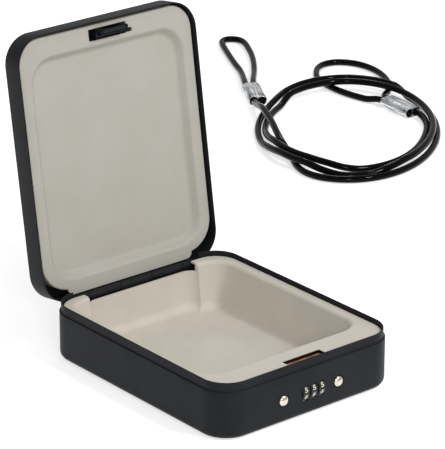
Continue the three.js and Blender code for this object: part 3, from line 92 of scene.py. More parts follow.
# Places along the two eyes, the lead and the tail: x, y and, off the floor, the height
EYE_A = [(0.4388, 0.4832), (0.4529, 0.5008), (0.4655, 0.5187), (0.4753, 0.535), (0.4819, 0.5475),
         (0.4848, 0.5565), (0.4832, 0.5642), (0.4772, 0.5689), (0.4696, 0.567), (0.4632, 0.5588),
         (0.4552, 0.5445), (0.4456, 0.5263), (0.4363, 0.508), (0.4272, 0.4893)]
LEAD = [(0.359, 0.3748, 0.0124), (0.3453, 0.3482, 0.0117), (0.3332, 0.3262, 0.0097),
        (0.3276, 0.3145, 0.0079), (0.3216, 0.2985, 0.0043), (0.315, 0.2855), (0.3057, 0.2681),
        (0.3019, 0.2527)]
TAIL = [(0.4552, 0.2668), (0.4656, 0.2792, 0.0035), (0.473, 0.2943, 0.0046)]
EYE_B = [(0.4776, 0.344, 0.0046), (0.484, 0.3535), (0.495, 0.361), (0.505, 0.370), (0.514, 0.382),
         (0.521, 0.396), (0.5255, 0.411), (0.5265, 0.427), (0.5225, 0.442), (0.5135, 0.452), (0.501, 0.455),
         (0.489, 0.4505), (0.4785, 0.441), (0.4695, 0.4285), (0.4645, 0.413), (0.4622, 0.396),
         (0.4625, 0.378), (0.4655, 0.360)]


def ease(start, stop, x):
    """From 0 at start to 1 at stop, with level ends: 3t^2 - 2t^3."""
    t = np.clip((x - start) / (stop - start), 0, 1)
    return t * t * (3 - 2 * t)


def keyed(keys, t):
    """A value that eases from key to key: first + sum of (next - last) * ease(from, to, t)."""
    return keys[0][1] + sum((after - before) * ease(start, stop, t)
                            for (start, before), (stop, after) in zip(keys[:-1], keys[1:]))


def strand(ferrule, hand, along):
    """A point of a ferrule's left (1) or right (-1) strand, so far along it from its middle."""
    x, y, ux, uy = ferrule
    ux, uy = ux / math.hypot(ux, uy), uy / math.hypot(ux, uy)
    side = hand * FERRULE_STRANDS / 2
    return (x + ux * along - uy * side, y + uy * along + ux * side, FERRULE_HEIGHT / 2)


def laid(points):
    """Points on the floor, where no height is given."""
    return [(*point[:2], *(point[2:] or (CABLE_HEIGHT,))) for point in points]


def ring():
    """An oval turned in its plane, half axis less pitch times the share in, raised by the share up."""
    t = np.arange(RING_FROM, RING_TO + 1, RING_STEP, dtype=float)
    inward = keyed(RING_IN_SHARES, t)
    short = (RING_HALVES[0] - RING_PITCH[0] * inward) * np.cos(np.radians(t))
    long = (RING_HALVES[1] - RING_PITCH[1] * inward) * np.sin(np.radians(t))
    c, s = math.cos(RING_TURN), math.sin(RING_TURN)
    return np.stack([RING_MIDDLE[0] + short * c - long * s, RING_MIDDLE[1] + short * s + long * c,
                     CABLE_HEIGHT + RING_CLIMB * keyed(RING_UP_SHARES, t)], 1).tolist()


end = FERRULE_LENGTH / 2
route = [strand(FERRULE_A, -1, CABLE / 4 - end), strand(FERRULE_A, -1, end),
         strand(FERRULE_A, -1, end + CABLE), *laid(EYE_A), strand(FERRULE_A, 1, end + CABLE),
         strand(FERRULE_A, 1, end), strand(FERRULE_A, 1, -end), *laid(LEAD), *ring(), *laid(TAIL),
         strand(FERRULE_B, -1, -end), strand(FERRULE_B, -1, end), *laid(EYE_B),
         strand(FERRULE_B, 1, end + CABLE), strand(FERRULE_B, 1, end), strand(FERRULE_B, 1, CABLE / 4 - end)]


def colour(code):
    """An sRGB code such as 2b2c30 as linear red, green, blue and full alpha."""
    s = np.array([int(code[k:k + 2], 16) / 255 for k in (0, 2, 4)])
    return (*np.where(s <= 0.04045, s / 12.92, ((s + 0.055) / 1.055) ** 2.4).tolist(), 1.0)


def node(tree, kind, inputs=None, **settings):
    """Adds a shader node. Settings are its own, and inputs hold a value or another node's output."""
    made = tree.nodes.new("ShaderNode" + kind)
    for name, value in settings.items():
        setattr(made, name, value)
    for name, value in (inputs or {}).items():
        if isinstance(value, bpy.types.NodeSocket):
            tree.links.new(value, made.inputs[name])
        else:
            made.inputs[name].default_value = value
    return made


def material(name):
    """A new material with only a Principled shader: (material, tree, shader, object coordinates)."""
    made = bpy.data.materials.new(name)
    made.use_nodes = True
    tree = made.node_tree
    return made, tree, tree.nodes["Principled BSDF"], tree.nodes.new("ShaderNodeTexCoord").outputs["Object"]


def mottled(tree, place, light, dark, size_mm):
    """Two near colours mixed by soft noise whose patches are size_mm across."""
    patches = node(tree, "TexNoise", {"Vector": place, "Scale": 1 / (size_mm * MM), "Detail": 3.0})
    ramp = node(tree, "MapRange", {"Value": patches.outputs["Fac"], "From Min": 0.3, "From Max": 0.7})
    return node(tree, "Mix", {0: ramp.outputs["Result"], 6: colour(dark), 7: colour(light)},
                data_type="RGBA").outputs[2], patches


def relief(tree, shader, height, depth_mm, strength):
    """Lets a height from 0 to 1 stand depth_mm proud of the surface."""
    bump = node(tree, "Bump", {"Height": height, "Distance": depth_mm * MM, "Strength": strength})
    tree.links.new(bump.outputs["Normal"], shader.inputs["Normal"])


# Polyvinyl sleeve, extruded: near black and wet looking, with the faint waves of the rope under it
# about every 9 mm.
SLEEVE_CLOUD, ROPE_WAVE = 25, 9
cable_sleeve, tree, shader, place = material("polyvinyl_sleeve")
base, _ = mottled(tree, place, "050506", "020202", SLEEVE_CLOUD)
tree.links.new(base, shader.inputs["Base Color"])
waves = node(tree, "TexNoise", {"Vector": place, "Scale": 1 / (ROPE_WAVE * MM), "Detail": 1.5})
relief(tree, shader, waves.outputs["Fac"], 0.1, 0.5)
shader.inputs["Roughness"].default_value = 0.1
shader.inputs["Specular IOR Level"].default_value = 0.1

cable_curve = bpy.data.curves.new("security_cable_sleeve", "CURVE")
cable_curve.dimensions = "3D"
cable_curve.bevel_depth = CABLE / 2
cable_curve.bevel_resolution = 6
cable_curve.resolution_u = 8
cable_curve.use_fill_caps = True
spline = cable_curve.splines.new("BEZIER")
spline.bezier_points.add(len(route) - 1)
# Each point heads halfway between the ways to its neighbours. Its rise is the harmonic mean of the
# rises before and after, and nothing where the height turns, so the cable stays on the floor.
points = np.array(route)
steps = np.diff(points, axis=0)
spans = np.linalg.norm(steps, axis=1)[:, None]
ways = steps / spans
heading = np.concatenate([ways[:1], ways[:-1] + ways[1:], ways[-1:]])
heading /= np.linalg.norm(heading, axis=1)[:, None]
product, total = ways[:-1, 2] * ways[1:, 2], ways[:-1, 2] + ways[1:, 2]
heading[1:-1, 2] = np.where(product > 0, 2 * product / np.where(product > 0, total, 1), 0)
for point in spline.bezier_points:
    point.handle_left_type = point.handle_right_type = "FREE"
for name, places in (("co", points),
                     ("handle_left", points - heading * np.concatenate([spans[:1], spans]) / 3),
                     ("handle_right", points + heading * np.concatenate([spans, spans[-1:]]) / 3)):
    spline.bezier_points.foreach_set(name, places.ravel())
cable = bpy.data.objects.new("security_cable_sleeve", cable_curve)
bpy.context.collection.objects.link(cable)
cable_curve.materials.append(cable_sleeve)
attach(cable, "case")
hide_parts("security_cable")

# Ferrules: drawn aluminium sleeves of two joined bores, pressed on the cable where its end comes
# back beside it. They have a slight waist between the bores, whose mouths are flared, and the press
# leaves two shallow grooves across.
CREASE = 35


def sections(outline, normal, inset, height):
    """A profile carried round an outline: point - inset * outward normal, at each height."""
    flat = outline[None] - inset[:, None, None] * normal[None]
    return np.concatenate([flat, np.broadcast_to(height[:, None, None], (*flat.shape[:2], 1))], 2)


def closed(rings, wrap=False):
    """Vertices in metres and faces of a skin through rings in millimetres, each anticlockwise about
    the way they run. It is capped at both ends, or joined last to first."""
    rows, cols = rings.shape[:2]
    i, j = np.meshgrid(np.arange(rows if wrap else rows - 1), np.arange(cols), indexing="ij")
    nxt, k = (i + 1) % rows, (j + 1) % cols
    quads = np.stack([i * cols + j, i * cols + k, nxt * cols + k, nxt * cols + j], -1).reshape(-1, 4)
    caps = [] if wrap else [list(range(cols))[::-1], list(range((rows - 1) * cols, rows * cols))]
    return rings.reshape(-1, 3) * MM, quads.tolist() + caps


def solid(name, shape):
    """A new object from vertices in metres and faces."""
    mesh = bpy.data.meshes.new(name)
    mesh.from_pydata(np.asarray(shape[0]).tolist(), [], shape[1])
    made = bpy.data.objects.new(name, mesh)
    bpy.context.collection.objects.link(made)
    return made


def smooth(made):
    """Shades a piece smooth, apart from edges sharper than the crease."""
    made.data.polygons.foreach_set("use_smooth", [True] * len(made.data.polygons))
    made.data.set_sharp_from_angle(angle=math.radians(CREASE))


def piece(name, shape, finish, body, nodes=()):
    """A piece of the safe, which rides on a body and stands for the nodes it replaces."""
    made = solid(name, shape)
    made.data.materials.append(finish)
    smooth(made)
    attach(made, body)
    if nodes:
        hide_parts(*nodes)
    return made


def tool(shape):
    """A closed body that only cuts or adds to another."""
    return solid("tool", shape)


def carve(made, tools, way="DIFFERENCE"):
    """Cuts the tools out of a piece, or joins them to it, and removes them."""
    for other in tools:
        change = made.modifiers.new("carve", "BOOLEAN")
        change.operation, change.solver, change.object = way, "MANIFOLD", other
        graph = bpy.context.evaluated_depsgraph_get()
        done = bpy.data.meshes.new_from_object(made.evaluated_get(graph))
        made.modifiers.remove(change)
        old, made.data = made.data, done
        done.name = made.name
        bpy.data.meshes.remove(old)
        bpy.data.objects.remove(other)
    smooth(made)


# Aluminium, cold drawn: bright, with the dark and light streaks that the die leaves along it, and
# fine scratches of the press. The streaks, really a tenth as wide, are drawn at 1.6 mm to show.
STREAK, SCRATCH, STRETCH = 1.6, 0.7, 10


def drawn_aluminium(name, place):
    """The streaks run along a ferrule: noise stretched ten times in its direction."""
    made, tree, shader, where = material(name)
    angle = -math.atan2(place[3], place[2])
    turn = node(tree, "Mapping", {"Vector": where, "Rotation": (0, 0, angle)})
    across = node(tree, "Mapping", {"Vector": turn.outputs["Vector"], "Scale": (1 / STRETCH, 1, 1)})
    streaks = node(tree, "TexNoise", {"Vector": across.outputs["Vector"], "Scale": 1 / (STREAK * MM),
                                      "Detail": 3.0})
    ramp = node(tree, "MapRange", {"Value": streaks.outputs["Fac"], "From Min": 0.35, "From Max": 0.62})
    tone = node(tree, "Mix", {0: ramp.outputs["Result"], 6: colour("6f7277"), 7: colour("eceef0")},
                data_type="RGBA")
    tree.links.new(tone.outputs[2], shader.inputs["Base Color"])
    scratches = node(tree, "TexNoise", {"Vector": turn.outputs["Vector"], "Scale": 1 / (SCRATCH * MM),
                                        "Detail": 2.0})
    relief(tree, shader, scratches.outputs["Fac"], 0.05, 0.6)
    rough = node(tree, "MapRange", {"Value": streaks.outputs["Fac"], "To Min": 0.42, "To Max": 0.28})
    tree.links.new(rough.outputs["Result"], shader.inputs["Roughness"])
    shader.inputs["Metallic"].default_value = 1.0
    return made


WAIST, WAIST_WIDE, LOBE = 0.1, 0.35, 1.6
PRESS_DEEP, PRESS_AT, PRESS_WIDE = 0.12, 0.33, 0.06
END_R, END_SHARE = 1.1, 0.07
BORE_ROOM, MOUTH_ROOM, MOUTH_DEEP, MOUTH_PAST, BORE_PAST = 0.2, 0.95, 2.6, 0.1, 2


def ferrule(name, place, node_name):
    """Two lobes carried along the strands: across = h/2 cos a + (w - h)/2 clip(lobe cos a), height =
    h/2 sin a (1 - waist e^-(cos a / wide)^2), less rounded ends and two grooves of the press."""
    x, y = place[0] / MM, place[1] / MM
    ux, uy = np.array(place[2:]) / math.hypot(*place[2:])
    length, width, height = FERRULE_LENGTH / MM, FERRULE_WIDTH / MM, FERRULE_HEIGHT / MM
    a = np.linspace(-np.pi / 2, np.pi * 3 / 2, 97)[:-1]
    normal = np.stack([np.cos(a), np.sin(a)], 1)
    outline = normal * height / 2
    outline[:, 0] += np.clip(LOBE * np.cos(a), -1, 1) * (width - height) / 2
    outline[:, 1] *= 1 - WAIST * np.exp(-(np.cos(a) / WAIST_WIDE) ** 2)
    s = np.linspace(-1, 1, 81)
    groove = PRESS_DEEP * np.exp(-((np.abs(s) - PRESS_AT) / PRESS_WIDE) ** 2)
    past = np.clip(np.abs(s) - (1 - END_SHARE), 0, 1) / END_SHARE
    rounded = END_R * (1 - np.sqrt(np.clip(1 - past ** 2, 0, 1)))
    local = sections(outline, normal, groove + rounded, s * length / 2)
    across, high, along = local[..., 0], local[..., 1], local[..., 2]
    rings = np.stack([x + ux * along + uy * across, y + uy * along - ux * across,
                      height / 2 + high], -1)
    finish = drawn_aluminium(f"drawn_aluminium_{name}", place)
    made = piece(name, closed(rings[:, ::-1]), finish, "case", [node_name])
    t = np.linspace(0, 2 * np.pi, 40, endpoint=False)
    side, up = np.array([uy, -ux, 0]), np.array([0, 0, 1])
    bore, mouth = CABLE / MM / 2 + BORE_ROOM, CABLE / MM / 2 + MOUTH_ROOM
    end = FERRULE_LENGTH / 2 / MM
    around = np.cos(t)[:, None] * side + np.sin(t)[:, None] * up
    for hand in (-1, 1):
        for reach in ([(-end - BORE_PAST, bore), (end + BORE_PAST, bore)],
                      [(end - MOUTH_DEEP, bore), (end + MOUTH_PAST, mouth)],
                      [(-end - MOUTH_PAST, mouth), (MOUTH_DEEP - end, bore)]):
            rings = np.stack([np.array(strand(place, hand, k * MM)) / MM + r * around for k, r in reach])
            carve(made, [tool(closed(rings[:, ::-1]))])
    return made


ferrule_a = ferrule("ferrule_near_eye", FERRULE_A, "ferrule_a")
ferrule_b = ferrule("ferrule_far_eye", FERRULE_B, "ferrule_b")

# Base tub: one pressing of 1 mm steel. Floor and walls are drawn deep with rounded corners, and the
# top is stepped in to a neck that the lid comes down round. Slots and holes are punched afterwards.
WIDTH, DEPTH, SHEET = 163, 200, 1
BASE_HEIGHT, NECK_HEIGHT, NECK_INSET = 36.2, 6.7, 1.3
CORNER_R, FLOOR_R, SHOULDER_R, RIM_R = 22, 5, 0.6, 0.45
CLEAR, PAST = 0.3, 4
FRONT, BACK, NECK_TOP = -DEPTH / 2, DEPTH / 2, BASE_HEIGHT + NECK_HEIGHT
NECK_IN = NECK_INSET + SHEET
HINGE_Y, HINGE_Z, HINGE_HALF, BARREL_R = BACK - 0.2, BASE_HEIGHT - 0.9, 58.7, 2.75
RIVETS_X, RIVET_FROM_AXIS, RIVET_R = (-44, 0, 44), 9.5, 1.6
LOCK_X, DIAL_Z, DIALS_X = 1.9, 17.6, (-5.45, 1.9, 9.25)
DIAL_SLOT = (6, 12.4, 2.6)
BUTTONS_X, BUTTON_HOLE_R = (-25.35, 25.35), 4.7
STUD_R, STUD_HEIGHT, STUD_ROUND, STUD_FROM_LOCK, STUD_FROM_BACK = 1.5, 4.6, 0.3, 21.25, 5
FRAME_FOOT_Z, FRAME_BACK = SHEET + CLEAR, FRONT + 24


def outline(x0, x1, y0, y1, r, back=None, steps=14):
    """A rounded rectangle, anticlockwise: corner centre + r (cos, sin) over four quarter turns."""
    back = r if back is None else back
    a = np.linspace(-np.pi / 2, 0, steps + 1)
    corners = ((x1 - r, y0 + r, r, 0), (x1 - back, y1 - back, back, 1),
               (x0 + back, y1 - back, back, 2), (x0 + r, y0 + r, r, 3))
    return np.concatenate([np.stack([x + k * np.cos(a + q * np.pi / 2),
                                     y + k * np.sin(a + q * np.pi / 2)], 1) for x, y, k, q in corners])


def case_outline(inset):
    """The case's own outline, moved inwards all round."""
    return outline(-WIDTH / 2 + inset, WIDTH / 2 - inset, FRONT + inset, BACK - inset, CORNER_R - inset)


def arc(start, stop, steps=6):
    """Cosines and sines, in pairs, of angles from start to stop in degrees."""
    a = np.radians(np.linspace(start, stop, steps + 1))
    return list(zip(np.cos(a), np.sin(a)))


def stack(levels):
    """Rings of like points, one for each (height, outline)."""
    return np.array([np.column_stack([points, np.full(len(points), z)]) for z, points in levels])


def turn_to(axis, rings):
    """Rings whose last coordinate runs along Z, turned so that it runs along X, Y or Z."""
    return np.roll(rings, {"x": 1, "y": 2, "z": 0}[axis], axis=-1)


def prism(axis, points, start, stop):
    """A flat outline, anticlockwise about the axis, thickened from start to stop along it."""
    return closed(turn_to(axis, stack([(start, np.array(points)), (stop, np.array(points))])))


def block(x0, x1, y0, y1, z0, z1):
    """A box between two corners."""
    return prism("z", [(x0, y0), (x1, y0), (x1, y1), (x0, y1)], z0, z1)


def turned(axis, profile, middle, sides=40):
    """A profile of (place along the axis, radius) turned about a line: middle + r (cos, sin)."""
    w, r = np.array(profile, float).T
    t = np.linspace(0, 2 * np.pi, sides, endpoint=False)
    rings = np.stack([middle[0] + r[:, None] * np.cos(t), middle[1] + r[:, None] * np.sin(t),
                      np.broadcast_to(w[:, None], (len(w), sides))], -1)
    return closed(turn_to(axis, rings))


def bar(axis, radius, start, stop, middle, edge=0.0, sides=40):
    """A turned bar whose rims are rounded by edge, a quarter circle each."""
    if not edge:
        return turned(axis, [(start, radius), (stop, radius)], middle, sides)
    low = [(start + edge * (1 - s), radius - edge * (1 - c)) for c, s in arc(90, 0, 4)]
    high = [(stop - edge * (1 - s), radius - edge * (1 - c)) for c, s in arc(0, 90, 4)]
    return turned(axis, low + high, middle, sides)


# Powder coat on pressed steel: satin black with a cool cast, and the fine orange peel of baked
# powder, which is about 0.5 mm and is drawn at 0.9 mm so that it shows.
COAT_CLOUD, PEEL = 18, 0.9
powder_coat, tree, shader, place = material("black_powder_coat")
base, _ = mottled(tree, place, "202226", "1a1c1f", COAT_CLOUD)
tree.links.new(base, shader.inputs["Base Color"])
peel = node(tree, "TexNoise", {"Vector": place, "Scale": 1 / (PEEL * MM), "Detail": 2.0})
relief(tree, shader, peel.outputs["Fac"], 0.035, 0.7)
rough = node(tree, "MapRange", {"Value": peel.outputs["Fac"], "To Min": 0.42, "To Max": 0.58})
tree.links.new(rough.outputs["Result"], shader.inputs["Roughness"])
shader.inputs["Specular IOR Level"].default_value = 0.14

joggle = BASE_HEIGHT - SHEET
tub = [(FLOOR_R * (1 - c), case_outline(FLOOR_R * (1 - s))) for c, s in arc(0, 90, 8)]
tub += [(BASE_HEIGHT - SHOULDER_R * (1 - s), case_outline(SHOULDER_R * (1 - c)))
        for c, s in arc(0, 90, 4)]
tub += [(BASE_HEIGHT + SHOULDER_R / 2 * (1 - s), case_outline(NECK_INSET - SHOULDER_R / 2 * (1 - c)))
        for c, s in arc(90, 0, 3)]
tub += [(NECK_TOP - RIM_R * (1 - s), case_outline(NECK_INSET + RIM_R * (1 - c)))
        for c, s in arc(0, 90, 4)]
tub += [(NECK_TOP - RIM_R * (1 - s), case_outline(NECK_IN - RIM_R * (1 - c))) for c, s in arc(90, 0, 4)]
tub += [(joggle, case_outline(NECK_IN)), (joggle, case_outline(SHEET + SHOULDER_R)),
        (joggle - SHOULDER_R, case_outline(SHEET))]
inner = FLOOR_R - SHEET
tub += [(SHEET + inner * (1 - c), case_outline(SHEET + inner * (1 - s))) for c, s in arc(90, 0, 8)]
base_shell = piece("base_shell_pressing", closed(stack(tub)), powder_coat, "case",
                   ["base_shell"])
gap, wall_in, wall_out = HINGE_HALF + 2 * CLEAR, BACK - SHEET - PAST, BACK + PAST
punches = [tool(block(-gap, gap, wall_in, wall_out, HINGE_Z - BARREL_R - CLEAR, NECK_TOP + PAST))]
w, h, r = DIAL_SLOT
punches += [tool(prism("y", outline(DIAL_Z - h / 2, DIAL_Z + h / 2, x - w / 2, x + w / 2, r), FRONT - PAST,
                       FRONT + 2 * SHEET)) for x in DIALS_X]
punches += [tool(bar("y", BUTTON_HOLE_R, FRONT - PAST, FRONT + 2 * SHEET, (DIAL_Z, x)))
            for x in BUTTONS_X]
punches += [tool(bar("y", RIVET_R + CLEAR, wall_in, wall_out, (HINGE_Z - RIVET_FROM_AXIS, x)))
            for x in RIVETS_X]
carve(base_shell, punches)
carve(base_shell, [tool(bar("z", STUD_R, SHEET / 2, FRAME_FOOT_Z + STUD_HEIGHT,
                            (LOCK_X + x, FRAME_BACK - STUD_FROM_BACK), STUD_ROUND))
                   for x in (-STUD_FROM_LOCK, STUD_FROM_LOCK)], "UNION")

# Hinge: two folded steel leaves whose knuckles are wrapped round one pin, each riveted inside a back
# wall. It is coated with the case, and each rivet has a domed head.
LEAF, LEAF_HEIGHT, KNUCKLES, KNUCKLE_ROUND, HINGE_PIN_R = 1.1, 15, 5, 0.35, 1.2
RIVET_HEAD_R, RIVET_HEAD = 2.8, 0.9
LID_OPEN = math.radians(-98.7)
knuckle_ends = np.array([-HINGE_HALF, *np.linspace(RIVETS_X[0], RIVETS_X[-1], KNUCKLES - 1), HINGE_HALF])
leaf_y = BACK - SHEET - CLEAR - LEAF


def spots(mesh):
    """The places of a mesh's vertices, a row each."""
    co = np.empty(len(mesh.vertices) * 3)
    mesh.vertices.foreach_get("co", co)
    return co.reshape(-1, 3)


def opened(made):
    """Swings a lid piece, made shut, about the hinge pin to where it stands open:
    y cos a - z sin a and y sin a + z cos a, from the pin."""
    co = spots(made.data)
    y, z = co[:, 1] - HINGE_Y * MM, co[:, 2] - HINGE_Z * MM
    c, s = math.cos(LID_OPEN), math.sin(LID_OPEN)
    co[:, 1], co[:, 2] = HINGE_Y * MM + y * c - z * s, HINGE_Z * MM + y * s + z * c
    made.data.vertices.foreach_set("co", co.ravel())
    made.data.update()
    return made


def hinge_leaf(name, up, own, body, node_name):
    """A plate from the pin's axis up or down, with every other knuckle, the others' places cut out."""
    z0, z1 = sorted((HINGE_Z, HINGE_Z + up * LEAF_HEIGHT))
    plate = block(CLEAR - HINGE_HALF, HINGE_HALF - CLEAR, leaf_y, leaf_y + LEAF, z0, z1)
    made = piece(name, plate, powder_coat, body, [node_name])
    reach = BARREL_R + CLEAR
    cuts, adds = [], []
    for n, (x0, x1) in enumerate(zip(knuckle_ends[:-1], knuckle_ends[1:])):
        x0, x1 = x0 + (CLEAR / 2 if n else 0), x1 - (CLEAR / 2 if n < KNUCKLES - 1 else 0)
        if n % 2 == own:
            adds.append(tool(bar("x", BARREL_R, x0, x1, (HINGE_Y, HINGE_Z), KNUCKLE_ROUND, 48)))
        else:
            cuts.append(tool(block(x0 - CLEAR, x1 + CLEAR, HINGE_Y - reach, HINGE_Y + reach,
                                   HINGE_Z - reach, HINGE_Z + reach)))
    rivet_z = HINGE_Z + up * RIVET_FROM_AXIS
    cuts += [tool(bar("y", RIVET_R + CLEAR, leaf_y - PAST, leaf_y + PAST, (rivet_z, x)))
             for x in RIVETS_X]
    cuts.append(tool(bar("x", HINGE_PIN_R + CLEAR, -HINGE_HALF - PAST, HINGE_HALF + PAST,
                         (HINGE_Y, HINGE_Z))))
    carve(made, adds, "UNION")
    carve(made, cuts)
    return made


def rivet(name, x, up, body, node_name):
    """A shank with a domed head either side: depth = head * sin a, radius = head radius * cos a."""
    y0, y1 = leaf_y - CLEAR, leaf_y + LEAF + 2 * CLEAR + SHEET
    dome = [(RIVET_HEAD * s, RIVET_HEAD_R * c) for c, s in arc(0, 88, 7)]
    profile = [(y0 - a, r) for a, r in reversed(dome)] + [(y0, RIVET_R), (y1, RIVET_R)]
    profile += [(y1 + a, r) for a, r in dome]
    return piece(name, turned("y", profile, (HINGE_Z + up * RIVET_FROM_AXIS, x)), powder_coat, body,
                 [node_name])


hinge_leaf("hinge_leaf_of_base", -1, 0, "case", "hinge_leaf_base")
opened(hinge_leaf("hinge_leaf_of_lid", 1, 1, "lid", "hinge_leaf_lid"))
for n, x in enumerate(RIVETS_X, 1):
    rivet(f"base_rivet_{n}", x, -1, "case", f"base_hinge_rivet_{n}")
    opened(rivet(f"lid_rivet_{n}", x, 1, "lid", f"lid_hinge_rivet_{n}"))

# Lock frame: a bridge folded from 1.2 mm steel, held by a nut on each of two studs. It carries dials,
# fence and detent spring, and the buttons' hooks slide in windows in its cheeks. Zinc plated and
# passivated to a dark bronze.
RIM_Z, LINER = NECK_TOP - 3.7, 1.5
PLATE, FRAME_HALF, FRAME_FRONT = 1.2, 17, FRONT + SHEET + 1.8
FRAME_TOP, FRAME_TOP_HALF = RIM_Z - LINER - CLEAR, 20
FRAME_BACK_HALF, FRAME_BACK_LOW, FOOT_OUT, FOOT_LONG = 30, 11, 8.5, 10
DIAL_R, DIAL_Y, SHAFT_R = 8.5, FRONT - 1.2 + 8.5, 2
FENCE_Y, FENCE_THICK, FENCE_HALF = DIAL_Y + 9.3, 1.5, 2
DETENT_Y, DETENT_Z, DETENT_THICK, DETENT_HIGH = DIAL_Y + 12.6, FRAME_FOOT_Z + 4.3, 0.8, 4
HOOK, HOOK_DEPTH, HOOK_NOSE, HOOK_BAR_Z, TRAVEL = 2.5, 3.4, 3.5, FRAME_TOP - 9.4, 3.2
ROD_Y, ROD_Z, ROD_R = FRONT + 7.8, BASE_HEIGHT - 3.9, 1.5
HOOK_Y = ROD_Y + ROD_R + 0.8
STEM_R, CHEEK_DEEP, STRIKER_X = 1.6, 3.6, (LOCK_X - 10.4, LOCK_X + 12.4)
PLATED_GRAIN, DULLER, FOLD_EDGE, FOLD_ANGLE = 0.4, 0.12, 0.25, 40


def plated(name, light, dark, patch_mm, roughness):
    """Plated metal: two near tones in soft patches, the darker the rougher, over the fine relief of
    the sheet or turning, about 0.1 mm and drawn coarser so that it shows."""
    made, tree, shader, place = material(name)
    base, patches = mottled(tree, place, light, dark, patch_mm)
    tree.links.new(base, shader.inputs["Base Color"])
    rough = node(tree, "MapRange", {"Value": patches.outputs["Fac"], "To Min": roughness + DULLER,
                                    "To Max": roughness})
    tree.links.new(rough.outputs["Result"], shader.inputs["Roughness"])
    grain = node(tree, "TexNoise", {"Vector": place, "Scale": 1 / (PLATED_GRAIN * MM), "Detail": 2.0})
    relief(tree, shader, grain.outputs["Fac"], 0.02, 0.6)
    shader.inputs["Metallic"].default_value = 1.0
    return made


def folded(name, adds, cuts, finish, body, nodes, edge=FOLD_EDGE):
    """Sheet metal: the first shape is joined by the others and cut, and its edges are broken."""
    made = piece(name, adds[0], finish, body, nodes)
    carve(made, [tool(shape) for shape in adds[1:]], "UNION")
    carve(made, [tool(shape) for shape in cuts])
    broken = made.modifiers.new("broken_edges", "BEVEL")
    broken.width, broken.segments, broken.angle_limit = edge * MM, 2, math.radians(FOLD_ANGLE)
    broken.limit_method, broken.harden_normals = "ANGLE", True
    return made


def finished(finish, *names):
    """Gives carried-over nodes a finish."""
    for name in names:
        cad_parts[name].data.materials.clear()
        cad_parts[name].data.materials.append(finish)


# Zinc plate passivated to bronze: dark brown with lighter, golden patches where the film is thin.
bronze = plated("bronze_passivated_zinc", "8a6038", "4e3119", 5, 0.3)
adds = [block(LOCK_X - FRAME_TOP_HALF, LOCK_X + FRAME_TOP_HALF, FRAME_FRONT, FRAME_BACK,
              FRAME_TOP - PLATE, FRAME_TOP),
        block(LOCK_X - FRAME_BACK_HALF, LOCK_X + FRAME_BACK_HALF, FRAME_BACK - PLATE, FRAME_BACK,
              FRAME_BACK_LOW, FRAME_TOP)]
# An opening in the top lets the striker's cheeks in.
cuts = [block(STRIKER_X[0] - 2 * CLEAR, STRIKER_X[1] + 2 * CLEAR, ROD_Y - CHEEK_DEEP / 2 - 2 * CLEAR,
              ROD_Y + CHEEK_DEEP / 2 + 2 * CLEAR, FRAME_TOP - PAST, FRAME_TOP + PAST)]
slope = FLOOR_R - SHEET
for side in (-1, 1):
    # A cheek that clears the tub's rounded floor edge, and the foot folded out from it
    a, b = sorted((LOCK_X + side * FRAME_HALF, LOCK_X + side * (FRAME_HALF - PLATE)))
    adds.append(prism("x", [(FRAME_FRONT, FRAME_TOP), (FRAME_FRONT, FRAME_FOOT_Z + slope),
                            (FRAME_FRONT + slope, FRAME_FOOT_Z), (FRAME_BACK, FRAME_FOOT_Z),
                            (FRAME_BACK, FRAME_TOP)], a, b))
    inner, outer = sorted((LOCK_X + side * (FRAME_HALF - PLATE), LOCK_X + side * (FRAME_HALF + FOOT_OUT)))
    adds.append(block(inner, outer, FRAME_BACK - FOOT_LONG, FRAME_BACK, FRAME_FOOT_Z, FRAME_FOOT_Z + PLATE))
    # Holes for stud, hook, shaft, fence, detent spring and button stem
    a, b = a - CLEAR, b + CLEAR
    cuts += [bar("z", STUD_R + CLEAR, 0, FRAME_FOOT_Z + PAST,
                 (LOCK_X + side * STUD_FROM_LOCK, FRAME_BACK - STUD_FROM_BACK)),
             block(a, b, HOOK_Y - HOOK_NOSE, HOOK_Y + HOOK_DEPTH + TRAVEL + 2 * CLEAR,
                   HOOK_BAR_Z - 2 * CLEAR, HOOK_BAR_Z + HOOK + 2 * CLEAR),
             bar("x", SHAFT_R + CLEAR, a, b, (DIAL_Y, DIAL_Z)),
             block(a, b, FENCE_Y - CLEAR, FENCE_Y + FENCE_THICK + CLEAR, DIAL_Z - FENCE_HALF - CLEAR,
                   DIAL_Z + FENCE_HALF + CLEAR),
             block(a, b, DETENT_Y - CLEAR, DETENT_Y + DETENT_THICK + CLEAR, DETENT_Z - CLEAR,
                   DETENT_Z + DETENT_HIGH + CLEAR),
             bar("y", STEM_R + CLEAR, FRAME_BACK - PAST, FRAME_BACK + PAST, (DIAL_Z, BUTTONS_X[side > 0]))]
folded("lock_frame_bridge", adds, cuts, bronze, "case", ["lock_frame"])

# Small parts that stay as they are: nuts, hinge pin, dial shaft and code fence, turned or cut from
# steel and zinc plated, the detent spring of tempered steel strip, and moulded sleeves and spacers.
# Bright zinc shows pale grey crystals a few millimetres across, and tempered steel is a darker grey.
zinc = plated("bright_zinc_plate", "c9cccb", "a6aaab", 3, 0.3)
spring_steel = plated("oil_tempered_spring_steel", "8f9397", "63676b", 2, 0.28)
finished(zinc, "frame_nut_left", "frame_nut_right", "dial_shaft", "code_fence", "striker_nut_1",
         "striker_nut_2", "hinge_pin")
finished(spring_steel, "detent_spring")


MOULD_CLOUD, MOULD_GRAIN, PLASTIC_IOR = 30, 0.6, 1.49


